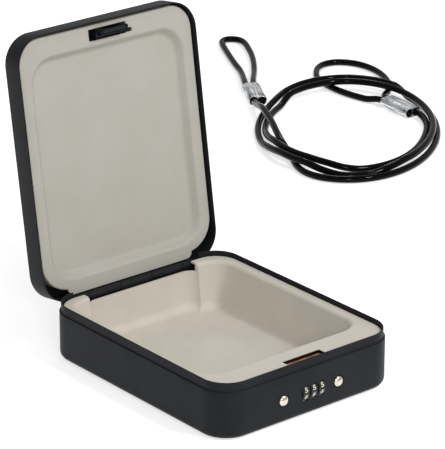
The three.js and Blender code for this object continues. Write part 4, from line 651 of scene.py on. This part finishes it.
def moulded(name, light, dark, rough_low, rough_high):
    """Moulded plastic with a spark-eroded grain: matt, of one colour with the faintest clouds. The
    grain of 0.15 mm is drawn at 0.6 mm so that it shows."""
    made, tree, shader, place = material(name)
    base, _ = mottled(tree, place, light, dark, MOULD_CLOUD)
    tree.links.new(base, shader.inputs["Base Color"])
    grain = node(tree, "TexNoise", {"Vector": place, "Scale": 1 / (MOULD_GRAIN * MM), "Detail": 3.0})
    relief(tree, shader, grain.outputs["Fac"], 0.05, 0.6)
    rough = node(tree, "MapRange", {"Value": grain.outputs["Fac"], "To Min": rough_low,
                                    "To Max": rough_high})
    tree.links.new(rough.outputs["Result"], shader.inputs["Roughness"])
    shader.inputs["IOR"].default_value = PLASTIC_IOR
    return made


# Acetal, left natural: milky white and slightly waxy.
natural_acetal = moulded("moulded_acetal_natural", "ebe9e2", "dfdcd3", 0.4, 0.5)
finished(natural_acetal, "dial_spacer_left", "dial_spacer_right",
         *(f"dial_sleeve_{n}" for n in (1, 2, 3)))

# Dials: three black wheels with ten flats each, moulded, and pressed on their sleeves. A number
# filled with cream ink stands on every flat, and the grooves between click on the detent spring.
DIAL_HALF, DIAL_BORE, DIAL_EDGE, GROOVE, GROOVE_HALF = 2.6, 4.9, 0.35, 0.5, 4
FLATS, FLAT_STEP, FIRST_FLAT, FIRST_DIGIT = 10, 36, 162, 5
DIGIT_HIGH, DIGIT_WIDE, DIGIT_SLICES, DIGIT_RAISED, DIGIT_BOLDER = 3.7, 1.2, 12, 0.02, 0.022


def dial_wheel(x):
    """A profile round the bore and the rim, turned about the shaft. Its radius dips at each groove:
    R - depth * (1 - |angle - 36k| / half)."""
    degrees = np.arange(0, 360, 1.0)
    off = np.abs((degrees + FLAT_STEP / 2) % FLAT_STEP - FLAT_STEP / 2)
    dip = GROOVE * np.clip(1 - off / GROOVE_HALF, 0, 1)
    rim = [(-DIAL_HALF + DIAL_EDGE * (1 - c), DIAL_R - DIAL_EDGE * (1 - s)) for c, s in arc(0, 90, 3)]
    rim += [(-w, r) for w, r in reversed(rim)]
    w, r = np.array([(-DIAL_HALF, DIAL_BORE)] + rim + [(DIAL_HALF, DIAL_BORE)]).T
    share = np.array([0] + [1] * len(rim) + [0])
    r = r[:, None] - share[:, None] * dip
    t = np.radians(degrees)
    rings = np.stack([DIAL_Y + r * np.cos(t), DIAL_Z + r * np.sin(t),
                      np.broadcast_to(x + w[:, None], r.shape)], -1)
    return closed(turn_to("x", rings), wrap=True)


def number(digit):
    """A digit as a closed flat body in millimetres, middle at zero, sliced every third of a
    millimetre of its height so that it can bend."""
    words = bpy.data.curves.new("number", "FONT")
    words.body, words.extrude, words.offset, words.resolution_u = str(digit), DIGIT_RAISED, DIGIT_BOLDER, 6
    made = bpy.data.objects.new("number", words)
    bpy.context.collection.objects.link(made)
    mesh = bpy.data.meshes.new_from_object(made.evaluated_get(bpy.context.evaluated_depsgraph_get()))
    bpy.data.objects.remove(made)
    flat = bmesh.new()
    flat.from_mesh(mesh)
    bmesh.ops.remove_doubles(flat, verts=flat.verts, dist=1e-5)
    low, high = spots(mesh)[:, 1].min(), spots(mesh)[:, 1].max()
    for y in np.linspace(low, high, DIGIT_SLICES + 1)[1:-1]:
        bmesh.ops.bisect_plane(flat, geom=flat.verts[:] + flat.edges[:] + flat.faces[:],
                               plane_co=(0, y, 0), plane_no=(0, 1, 0))
    flat.to_mesh(mesh)
    flat.free()
    co, faces = spots(mesh), [tuple(face.vertices) for face in mesh.polygons]
    bpy.data.meshes.remove(mesh)
    co[:, :2] -= (co[:, :2].max(0) + co[:, :2].min(0)) / 2
    return co * (DIGIT_HIGH / (high - low)) * (DIGIT_WIDE, 1, 1), faces


def number_ring():
    """The ten numbers bent round a wheel: angle = middle of the flat - height / R, radius = R + depth.
    They grow downwards, and 5 and 6 show in the window."""
    points, faces, count = [], [], 0
    for n in range(FLATS):
        flat, own = number((FIRST_DIGIT + n) % FLATS)
        t = np.radians(FIRST_FLAT + FLAT_STEP * n) - flat[:, 1] / DIAL_R
        r = DIAL_R + flat[:, 2]
        points.append(np.column_stack([flat[:, 0], DIAL_Y + r * np.cos(t), DIAL_Z + r * np.sin(t)]))
        faces += [tuple(count + k for k in face) for face in own]
        count += len(flat)
    return np.concatenate(points), faces


# Moulded ABS, black with a soft sheen. The ink is matt and creamy, a little thinner here and there.
dial_plastic = moulded("moulded_abs_black", "1b1c1e", "141517", 0.32, 0.42)
ink = moulded("cream_filling_ink", "ded9c4", "c9c4ab", 0.5, 0.65)
ring_points, ring_faces = number_ring()
for n, x in enumerate(DIALS_X, 1):
    piece(f"dial_{n}_wheel", dial_wheel(x), dial_plastic, f"dial_{n}",
          [f"dial_wheel_{n}"])
    piece(f"dial_{n}_numbers", ((ring_points + (x, 0, 0)) * MM, ring_faces), ink, f"dial_{n}")

# Release buttons: turned brass with a domed head and a stem, satin nickel plated. Each slides in a
# black guide behind its hole, pushes one latch hook, and a coil spring on the stem brings it back.
BUTTON_R, BUTTON_PROUD, BUTTON_BACK, STEM = 4, 2, FRONT + SHEET + 7.6, 14
CAP_FROM, CAP_TO, CAP_END, BUTTON_EDGE = 3, 51, 0.1, 0.3
SPRING_R, WIRE_R, CURLS = 2.9, 0.35, 5
HOOK_ARM, HOOK_SIDE, HOOK_BELOW_STEM, NOSE_SLOPE, NOSE_TIP, HOOK_ROUND = 6, 2.5, 3.2, 1.9, 0.5, 0.2

# Satin nickel over the turned brass: a warm silver with soft patches, a little duller where darker.
nickel = plated("satin_nickel_plate", "e9e2d9", "cdc5bb", 6, 0.2)
finished(dial_plastic, "button_guide_left", "button_guide_right")


def button(x):
    """A spherical cap on a cylinder and a stem: depth = R - R cos a, radius = R sin a."""
    dome = (BUTTON_R ** 2 + BUTTON_PROUD ** 2) / (2 * BUTTON_PROUD)
    cap = [(FRONT - BUTTON_PROUD + dome * (1 - c), dome * s) for c, s in arc(CAP_FROM, CAP_TO, 12)]
    tail, edge = BUTTON_BACK + STEM, BUTTON_EDGE
    side = [(FRONT + CAP_END, BUTTON_R), (BUTTON_BACK - edge, BUTTON_R),
            (BUTTON_BACK, BUTTON_R - edge)]
    stem = [(BUTTON_BACK, STEM_R), (tail - edge, STEM_R), (tail, STEM_R - edge)]
    return turned("y", cap + side + stem, (DIAL_Z, x), 64)


def coil(x, start, stop):
    """A wire round a helix: middle + R (cos t, sin t) while t makes the curls, with a round section
    whose axes are the helix's own radius and the stem's direction."""
    t = np.linspace(0, 2 * np.pi * CURLS, 32 * CURLS + 1)
    u = np.linspace(0, 2 * np.pi, 12, endpoint=False)
    away = SPRING_R + WIRE_R * np.cos(u)
    rings = np.stack([x + away * np.cos(t)[:, None],
                      (start + (stop - start) * t / t[-1])[:, None] + WIRE_R * np.sin(u),
                      DIAL_Z + away * np.sin(t)[:, None]], -1)
    return closed(rings)


near, far = HOOK_Y + HOOK_DEPTH + CLEAR + 2 * WIRE_R, FRAME_BACK - PLATE - CLEAR - 2 * WIRE_R
nose, nose_y = ROD_Z + ROD_R + CLEAR, HOOK_Y - HOOK_NOSE
hook_back, hook_top = HOOK_Y + HOOK_DEPTH, HOOK_BAR_Z + HOOK
for side, name in ((-1, "left"), (1, "right")):
    x, body = BUTTONS_X[side > 0], f"release_{name}"
    piece(f"button_{name}_turned", button(x), nickel, body, [f"release_button_{name}"])
    spring = piece(f"button_{name}_spring", coil(x, near, far), spring_steel, "case",
                   [f"return_spring_{name}"])
    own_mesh(spring)
    # A bar through the frame's cheek, a tab down to the stem, and an arm with the sloped nose
    arm, low, high = LOCK_X + side * HOOK_ARM, HOOK_BAR_Z + HOOK / 2, FRAME_TOP - PLATE - CLEAR
    folded(f"hook_{name}_pressing",
           [block(*sorted((x + side * HOOK_SIDE, arm - side * HOOK / 2)), HOOK_Y, hook_back,
                  HOOK_BAR_Z, hook_top),
            block(x - HOOK_SIDE, x + HOOK_SIDE, HOOK_Y, hook_back, DIAL_Z - HOOK_BELOW_STEM, low),
            prism("x", [(hook_back, low), (hook_back, high), (nose_y + NOSE_SLOPE, high),
                        (nose_y, nose + NOSE_TIP), (nose_y, nose), (HOOK_Y, nose), (HOOK_Y, low)],
                  arm - HOOK / 2, arm + HOOK / 2)],
           [bar("y", STEM_R + CLEAR, HOOK_Y - PAST, hook_back + PAST, (DIAL_Z, x))],
           bronze, body, [f"latch_hook_{name}"], HOOK_ROUND)

# Code lever: a zinc plated slide behind the frame, whose tab stands in a slot of the tray's front
# wall. It is pushed across to set a new code.
LEVER_X, LEVER_Z, LEVER_THICK, LEVER_TRAVEL = 9, 22, 1.2, 4
LEVER, TAB, TAB_END = dict(wide=6, high=3.5, corner=1), dict(wide=1.5, high=1.5, corner=0.5), 8.6
lever_y = FRAME_BACK + CLEAR


def slab(wide, high, corner, y0, y1):
    """A plate with rounded corners about the lever's middle, given by half its width and height."""
    return prism("y", outline(LEVER_Z - high, LEVER_Z + high, LEVER_X - wide, LEVER_X + wide, corner,
                              steps=4), y0, y1)


folded("code_lever_slide",
       [slab(**LEVER, y0=lever_y, y1=lever_y + LEVER_THICK),
        slab(**TAB, y0=lever_y + LEVER_THICK / 2, y1=lever_y + TAB_END)],
       [], zinc, "code_lever", ["code_lever"])

# Base liner: a tray moulded in pale plastic with a fine matt grain. It drops into the neck, and its
# pocket has a second, shallower bay at the back that gives the open lid's edge room.
HAIR = 0.03
LINER_IN = NECK_IN + CLEAR
LINER_BACK = HINGE_Y - BARREL_R - CLEAR
LINER_FLOOR = SHEET + CLEAR + LINER
RIM_SIDE, LEDGE, RIM_BACK, RIM_EDGE_R = 8.4, 26.4, 8.2, 0.7
POCKET = dict(edge=3.5, foot=7, draft=8, r=17)
BAY_HALF, BAY_LENGTH, BAY_WALL_GAP, BAY_LOW = 52.5, 40, 1.8, 6.2
BAY = dict(edge=2, foot=7, draft=4, r=12)
SLOT_X, SLOT_Y, SLOT_CORNER = (-15.3, 19.1), (-94.2, -85.3), 0.6
SLOT_LIP, RELIEF, RELIEF_CORNER, TAB_SLOT_DEEP = 0.5, 2.2, 2, 12.6


def pocket(bounds, top, floor, out, edge, foot, draft, r, steps=8):
    """A pocket in a plate: rounded floor edge, drafted wall, rounded top edge, in one profile carried
    round its outline. The skin lies on the surface, or out beyond it. The rounded edge ends a hair
    below the plate's face, because faces in one plane cut badly."""
    d = math.radians(draft)
    wall = (top - edge - floor - foot + (edge + foot) * math.sin(d)) / math.cos(d)
    foot_in = (edge + foot) * math.cos(d) + wall * math.sin(d) - edge
    profile = [(foot_in - (foot + out) * c, floor + foot - (foot + out) * s)
               for c, s in arc(90, draft, steps)]
    profile += [((edge - out) * c - edge, top - edge + (edge - out) * s)
                for c, s in arc(draft, 90, steps)]
    profile[-1] = (profile[-1][0], profile[-1][1] - HAIR)
    profile.append((-edge, top - out / 2 if out else top + PAST))
    x0, x1, y0, y1 = bounds
    return closed(stack([(z, outline(x0 + s, x1 - s, y0 + s, y1 - s, r - s)) for s, z in profile]))


# Polystyrene, warm light grey and matt from the grain of its mould.
base_plastic = moulded("moulded_polystyrene_warm", "d3cdc2", "cdc7bc", 0.6, 0.72)
x0, x1, y0 = -WIDTH / 2 + LINER_IN, WIDTH / 2 - LINER_IN, FRONT + LINER_IN
rim_edge = [(RIM_Z - RIM_EDGE_R * (1 - s), RIM_EDGE_R * (1 - c)) for c, s in arc(0, 90)]
rim = [(z, outline(x0 + i, x1 - i, y0 + i, LINER_BACK - i, CORNER_R - LINER_IN - i))
       for z, i in [(RIM_Z - LINER, 0)] + rim_edge]
base_liner = piece("base_liner_moulding", closed(stack(rim)), base_plastic, "case",
                   ["base_liner"])
tray = (x0 + RIM_SIDE, x1 - RIM_SIDE, y0 + LEDGE, LINER_BACK - RIM_BACK)
bay = (-BAY_HALF, BAY_HALF, tray[3] - BAY_LENGTH, LINER_BACK - BAY_WALL_GAP)
carve(base_liner, [tool(pocket(tray, RIM_Z, LINER_FLOOR, LINER, **POCKET)),
                   tool(pocket(bay, RIM_Z, LINER_FLOOR, LINER, **BAY))], "UNION")
slot = outline(*SLOT_X, *SLOT_Y, SLOT_CORNER, steps=4)
relieved = outline(SLOT_X[0] - RELIEF, SLOT_X[1] + RELIEF, SLOT_Y[0] - RELIEF, SLOT_Y[1] + RELIEF,
                   RELIEF_CORNER, steps=4)
bay_half, room = BAY_HALF - BAY["edge"], TAB["wide"] + 2 * CLEAR
carve(base_liner, [tool(pocket(tray, RIM_Z, LINER_FLOOR, 0, **POCKET)),
                   tool(pocket(bay, RIM_Z, LINER_FLOOR, 0, **BAY)),
                   tool(block(-bay_half, bay_half, tray[3], LINER_BACK + PAST, RIM_Z - BAY_LOW,
                              RIM_Z + PAST)),
                   tool(block(-WIDTH / 2, WIDTH / 2, LINER_BACK, BACK + PAST, 0, NECK_TOP + PAST)),
                   tool(prism("z", slot, RIM_Z - 2 * LINER, RIM_Z + PAST)),
                   tool(prism("z", relieved, RIM_Z - 2 * LINER, RIM_Z - SLOT_LIP)),
                   tool(block(LEVER_X - room, LEVER_X + room + LEVER_TRAVEL, FRAME_BACK,
                              FRAME_BACK + TAB_SLOT_DEEP, LEVER_Z - room, LEVER_Z + room))])

# Lid pan: pressed like the tub from 1 mm steel, with a small radius all round its top. A notch in its
# back wall gives the hinge room, and two studs under its top hold the striker. Powder coated.
LID_HEIGHT, LID_EDGE_R = 18.6, 2.6
LID_LOW = BASE_HEIGHT + CLEAR
LID_TOP = LID_LOW + LID_HEIGHT
inner = LID_EDGE_R - SHEET
pan = [(LID_TOP - SHEET - inner * (1 - s), case_outline(SHEET + inner * (1 - c))) for c, s in arc(90, 0)]
pan += [(LID_LOW + RIM_R * (1 - s), case_outline(SHEET - RIM_R * (1 - c))) for c, s in arc(0, 90, 4)]
pan += [(LID_LOW + RIM_R * (1 - s), case_outline(RIM_R * (1 - c))) for c, s in arc(90, 0, 4)]
pan += [(LID_TOP - LID_EDGE_R * (1 - s), case_outline(LID_EDGE_R * (1 - c))) for c, s in arc(0, 90)]
lid_shell = piece("lid_shell_pressing", closed(stack(pan)), powder_coat, "lid",
                  ["lid_shell"])
punches = [tool(block(-gap, gap, wall_in, wall_out, LID_LOW - PAST, HINGE_Z + BARREL_R + CLEAR))]
punches += [tool(bar("y", RIVET_R + CLEAR, wall_in, wall_out, (HINGE_Z + RIVET_FROM_AXIS, x)))
            for x in RIVETS_X]
carve(lid_shell, punches)
STRIKER_DEEP, STRIKER_EAR = 11, 8
STRIKER_STUDS_X = (STRIKER_X[0] - STRIKER_EAR / 2, STRIKER_X[1] + STRIKER_EAR / 2)
STRIKER_STUD_Y = ROD_Y - CHEEK_DEEP / 2 + STRIKER_DEEP / 2
carve(lid_shell, [tool(bar("z", STUD_R, LID_TOP - SHEET - CLEAR - STUD_HEIGHT, LID_TOP - SHEET / 2,
                           (x, STRIKER_STUD_Y), STUD_ROUND)) for x in STRIKER_STUDS_X], "UNION")
opened(lid_shell)

# Lid liner: a second moulding, matt, of the same warm plastic as the base liner but painted darker
# as shade, since its face turns to the front and gets less light. A flat border carries a shallow
# recess with very soft edges, and its slot lets the striker through.
BORDER_Z = RIM_Z + 0.4
LID_ROOF = LID_TOP - SHEET - CLEAR
LID_BACK_IN, LID_BACK_R, LID_LINER_R = 7.5, 24, 1.2
RECESS = dict(edge=3, foot=4.5, draft=38, r=19)
RECESS_DEEP, RECESS_SIDE, RECESS_FRONT, RECESS_BACK = 6, 10.5, 17, 12.5
TONGUE_R, PIN_R, PIN_TAIL, PIN_Y, SLIVER = 5, 1, 3.6, FRONT + 12.7, 0.01

# Polystyrene again, the base liner's warm light grey painted darker here as shade, matt from the grain of
# its mould.
lid_plastic_painted_shade = moulded("moulded_polystyrene_painted_shade", "b9b6ad", "b3b0a6", 0.6, 0.72)


def lid_skin(inset, z):
    """The liner's outline at a height, moved inwards all round, with rounder corners at the back."""
    return z, outline(x0 + inset, x1 - inset, y0 + inset, BACK - LID_BACK_IN - inset,
                      CORNER_R - LINER_IN - inset, LID_BACK_R - inset)


r = LID_LINER_R
skin = [lid_skin(r * (1 - c), BORDER_Z + r * (1 - s)) for c, s in arc(90, 0)]
skin += [lid_skin(0, LID_ROOF), lid_skin(LINER, LID_ROOF), lid_skin(LINER, BORDER_Z + LINER)]
lid_liner = piece("lid_liner_moulding", closed(stack(skin)), lid_plastic_painted_shade, "lid",
                  ["lid_liner"])
# A tongue of the border reaches back to the hinge.
half = HINGE_HALF - 2 * CLEAR
tongue = prism("z", outline(-half, half, 0, LINER_BACK, TONGUE_R), BORDER_Z, BORDER_Z + LINER)
carve(lid_liner, [tool(tongue)], "UNION")
recess = (x0 + RECESS_SIDE, x1 - RECESS_SIDE, y0 + RECESS_FRONT, LINER_BACK - RECESS_BACK)
turned_over = []
for out in (LINER, 0):
    co, faces = pocket(recess, 0, -RECESS_DEEP, out, **RECESS)
    co[:, 2] = BORDER_Z * MM - co[:, 2]
    turned_over.append(tool((co, [face[::-1] for face in faces])))
carve(lid_liner, turned_over[:1], "UNION")
notch = PIN_R + 2 * CLEAR
pin_room = outline(SLOT_X[1] - PAST, SLOT_X[1] + PIN_TAIL + notch, PIN_Y - notch, PIN_Y + notch,
                   notch - SLIVER)
carve(lid_liner, [turned_over[1], tool(prism("z", slot, BORDER_Z - PAST, BORDER_Z + 2 * LINER)),
                  tool(prism("z", pin_room, BORDER_Z - PAST, BORDER_Z + 2 * LINER))])
opened(lid_liner)

# Striker: a bracket folded from 1.2 mm steel, nutted inside the lid. Its two cheeks stand out of the
# liner's slot and carry the rod that the hooks take; a pin crosses the slot behind. Coated black.
PIN_IN, PIN_ROUND, CHEEK_PAST_ROD, STRIKER_ROUND = 1.6, 0.9, 1.9, 0.2
ROD_NECK_R, ROD_HEAD_R, ROD_HEAD, ROD_BEVEL, ROD_IN = 0.8, 1.3, 0.8, 0.2, 0.5
web_top, web_y, pin_z = LID_TOP - SHEET - CLEAR, ROD_Y - CHEEK_DEEP / 2, BORDER_Z + PIN_IN
cheek_back, cheek_low, rod_low = SLOT_Y[1] - CLEAR, pin_z - PIN_R - CLEAR, ROD_Z - CHEEK_PAST_ROD
cheek = [(web_y, rod_low + PLATE), (web_y + PLATE, rod_low), (web_y + CHEEK_DEEP - PLATE, rod_low),
         (web_y + CHEEK_DEEP, rod_low + PLATE), (web_y + CHEEK_DEEP, cheek_low), (cheek_back, cheek_low),
         (cheek_back, web_top), (web_y, web_top)]
left, right = STRIKER_X
adds = [block(left - STRIKER_EAR, right + STRIKER_EAR, web_y, web_y + STRIKER_DEEP, web_top - PLATE,
              web_top),
        prism("x", cheek, left, left + PLATE), prism("x", cheek, right - PLATE, right)]
cuts = [bar("x", ROD_NECK_R + CLEAR, left - PAST, right + PAST, (ROD_Y, ROD_Z)),
        bar("x", PIN_R + CLEAR, left - PAST, right + PAST, (PIN_Y, pin_z))]
cuts += [bar("z", STUD_R + CLEAR, web_top - PAST, web_top + PAST, (x, STRIKER_STUD_Y))
         for x in STRIKER_STUDS_X]
opened(folded("striker_bracket_pressing", adds, cuts, powder_coat, "lid",
              ["striker_bracket"], STRIKER_ROUND))
# The rod's necks pass through the cheeks, and their ends are riveted over.
rod = [(left - ROD_HEAD, ROD_HEAD_R - ROD_BEVEL), (left - ROD_HEAD + ROD_BEVEL, ROD_HEAD_R),
       (left - CLEAR, ROD_HEAD_R), (left - CLEAR, ROD_NECK_R), (left + PLATE + CLEAR, ROD_NECK_R),
       (left + PLATE + CLEAR, ROD_R - ROD_BEVEL), (left + PLATE + ROD_IN, ROD_R)]
rod += [(left + right - w, r) for w, r in reversed(rod)]
opened(piece("striker_rod_turned", turned("x", rod, (ROD_Y, ROD_Z)), powder_coat, "lid",
             ["striker_rod"]))
pin = bar("x", PIN_R, left, SLOT_X[1] + PIN_TAIL + PIN_R, (PIN_Y, pin_z), PIN_ROUND)
opened(piece("striker_pin_turned", pin, powder_coat, "lid", ["striker_cross_pin"]))

# Studio: a white paper floor under an even pale sky, a key lamp above and in front, a weaker one at
# the front left corner, and a small one behind that draws thin lines of light on the cable.
PAPER_HALF, PAPER_DROP, PAPER_LIFT, PAPER_FIBRE = 6, 0.0004, 0.55, 4
LAMPS = (("key", (0.55, -1.3, 1.8), 0.25, 18), ("side", (-0.85, -1.4, 0.8), 0.3, 6),
         ("back", (1.28, 1.37, 1.2), 0.2, 2))
LAMP_AIM, SKY_LIGHT = Vector((0.1, 0.05, 0.05)), 0.5

corners = np.array([(-1, -1, 0), (1, -1, 0), (1, 1, 0), (-1, 1, 0)]) * PAPER_HALF
floor = solid("floor", (corners - (0, 0, PAPER_DROP), [[0, 1, 2, 3]]))
# Matt paper, with faint clouds of fibre 4 mm across. Camera, glossy and transmission rays see it
# brightened to white, with the shadow kept.
paper, tree, shader, place = material("white_paper")
fibre = node(tree, "TexNoise", {"Vector": place, "Scale": 1 / (PAPER_FIBRE * MM), "Detail": 2.0})
tone = node(tree, "Mix", {0: fibre.outputs["Fac"], 6: colour("f3f3f3"), 7: colour("f6f6f6")},
            data_type="RGBA")
tree.links.new(tone.outputs[2], shader.inputs["Base Color"])
shader.inputs["Roughness"].default_value = 0.9
shader.inputs["Specular IOR Level"].default_value = 0.1
seen = node(tree, "LightPath")
either = node(tree, "Math", {0: seen.outputs["Is Camera Ray"], 1: seen.outputs["Is Glossy Ray"]},
              operation="MAXIMUM")
any_of = node(tree, "Math", {0: either.outputs[0], 1: seen.outputs["Is Transmission Ray"]},
              operation="MAXIMUM")
shader.inputs["Emission Color"].default_value = (1, 1, 1, 1)
lift = node(tree, "MapRange", {"Value": any_of.outputs[0], "To Max": PAPER_LIFT})
tree.links.new(lift.outputs["Result"], shader.inputs["Emission Strength"])
floor.data.materials.append(paper)

world = bpy.data.worlds.new("studio")
bpy.context.scene.world = world
world.use_nodes = True
sky = world.node_tree.nodes["Background"]
sky.inputs["Color"].default_value = (1, 1, 1, 1)
sky.inputs["Strength"].default_value = SKY_LIGHT
for name, spot, size, power in LAMPS:
    lamp = bpy.data.objects.new(name, bpy.data.lights.new(name, "AREA"))
    lamp.data.size, lamp.data.energy = size, power
    lamp.location = spot
    lamp.rotation_euler = (LAMP_AIM - Vector(spot)).to_track_quat("-Z", "Y").to_euler()
    bpy.context.collection.objects.link(lamp)
bpy.context.scene.view_settings.view_transform = "Standard"
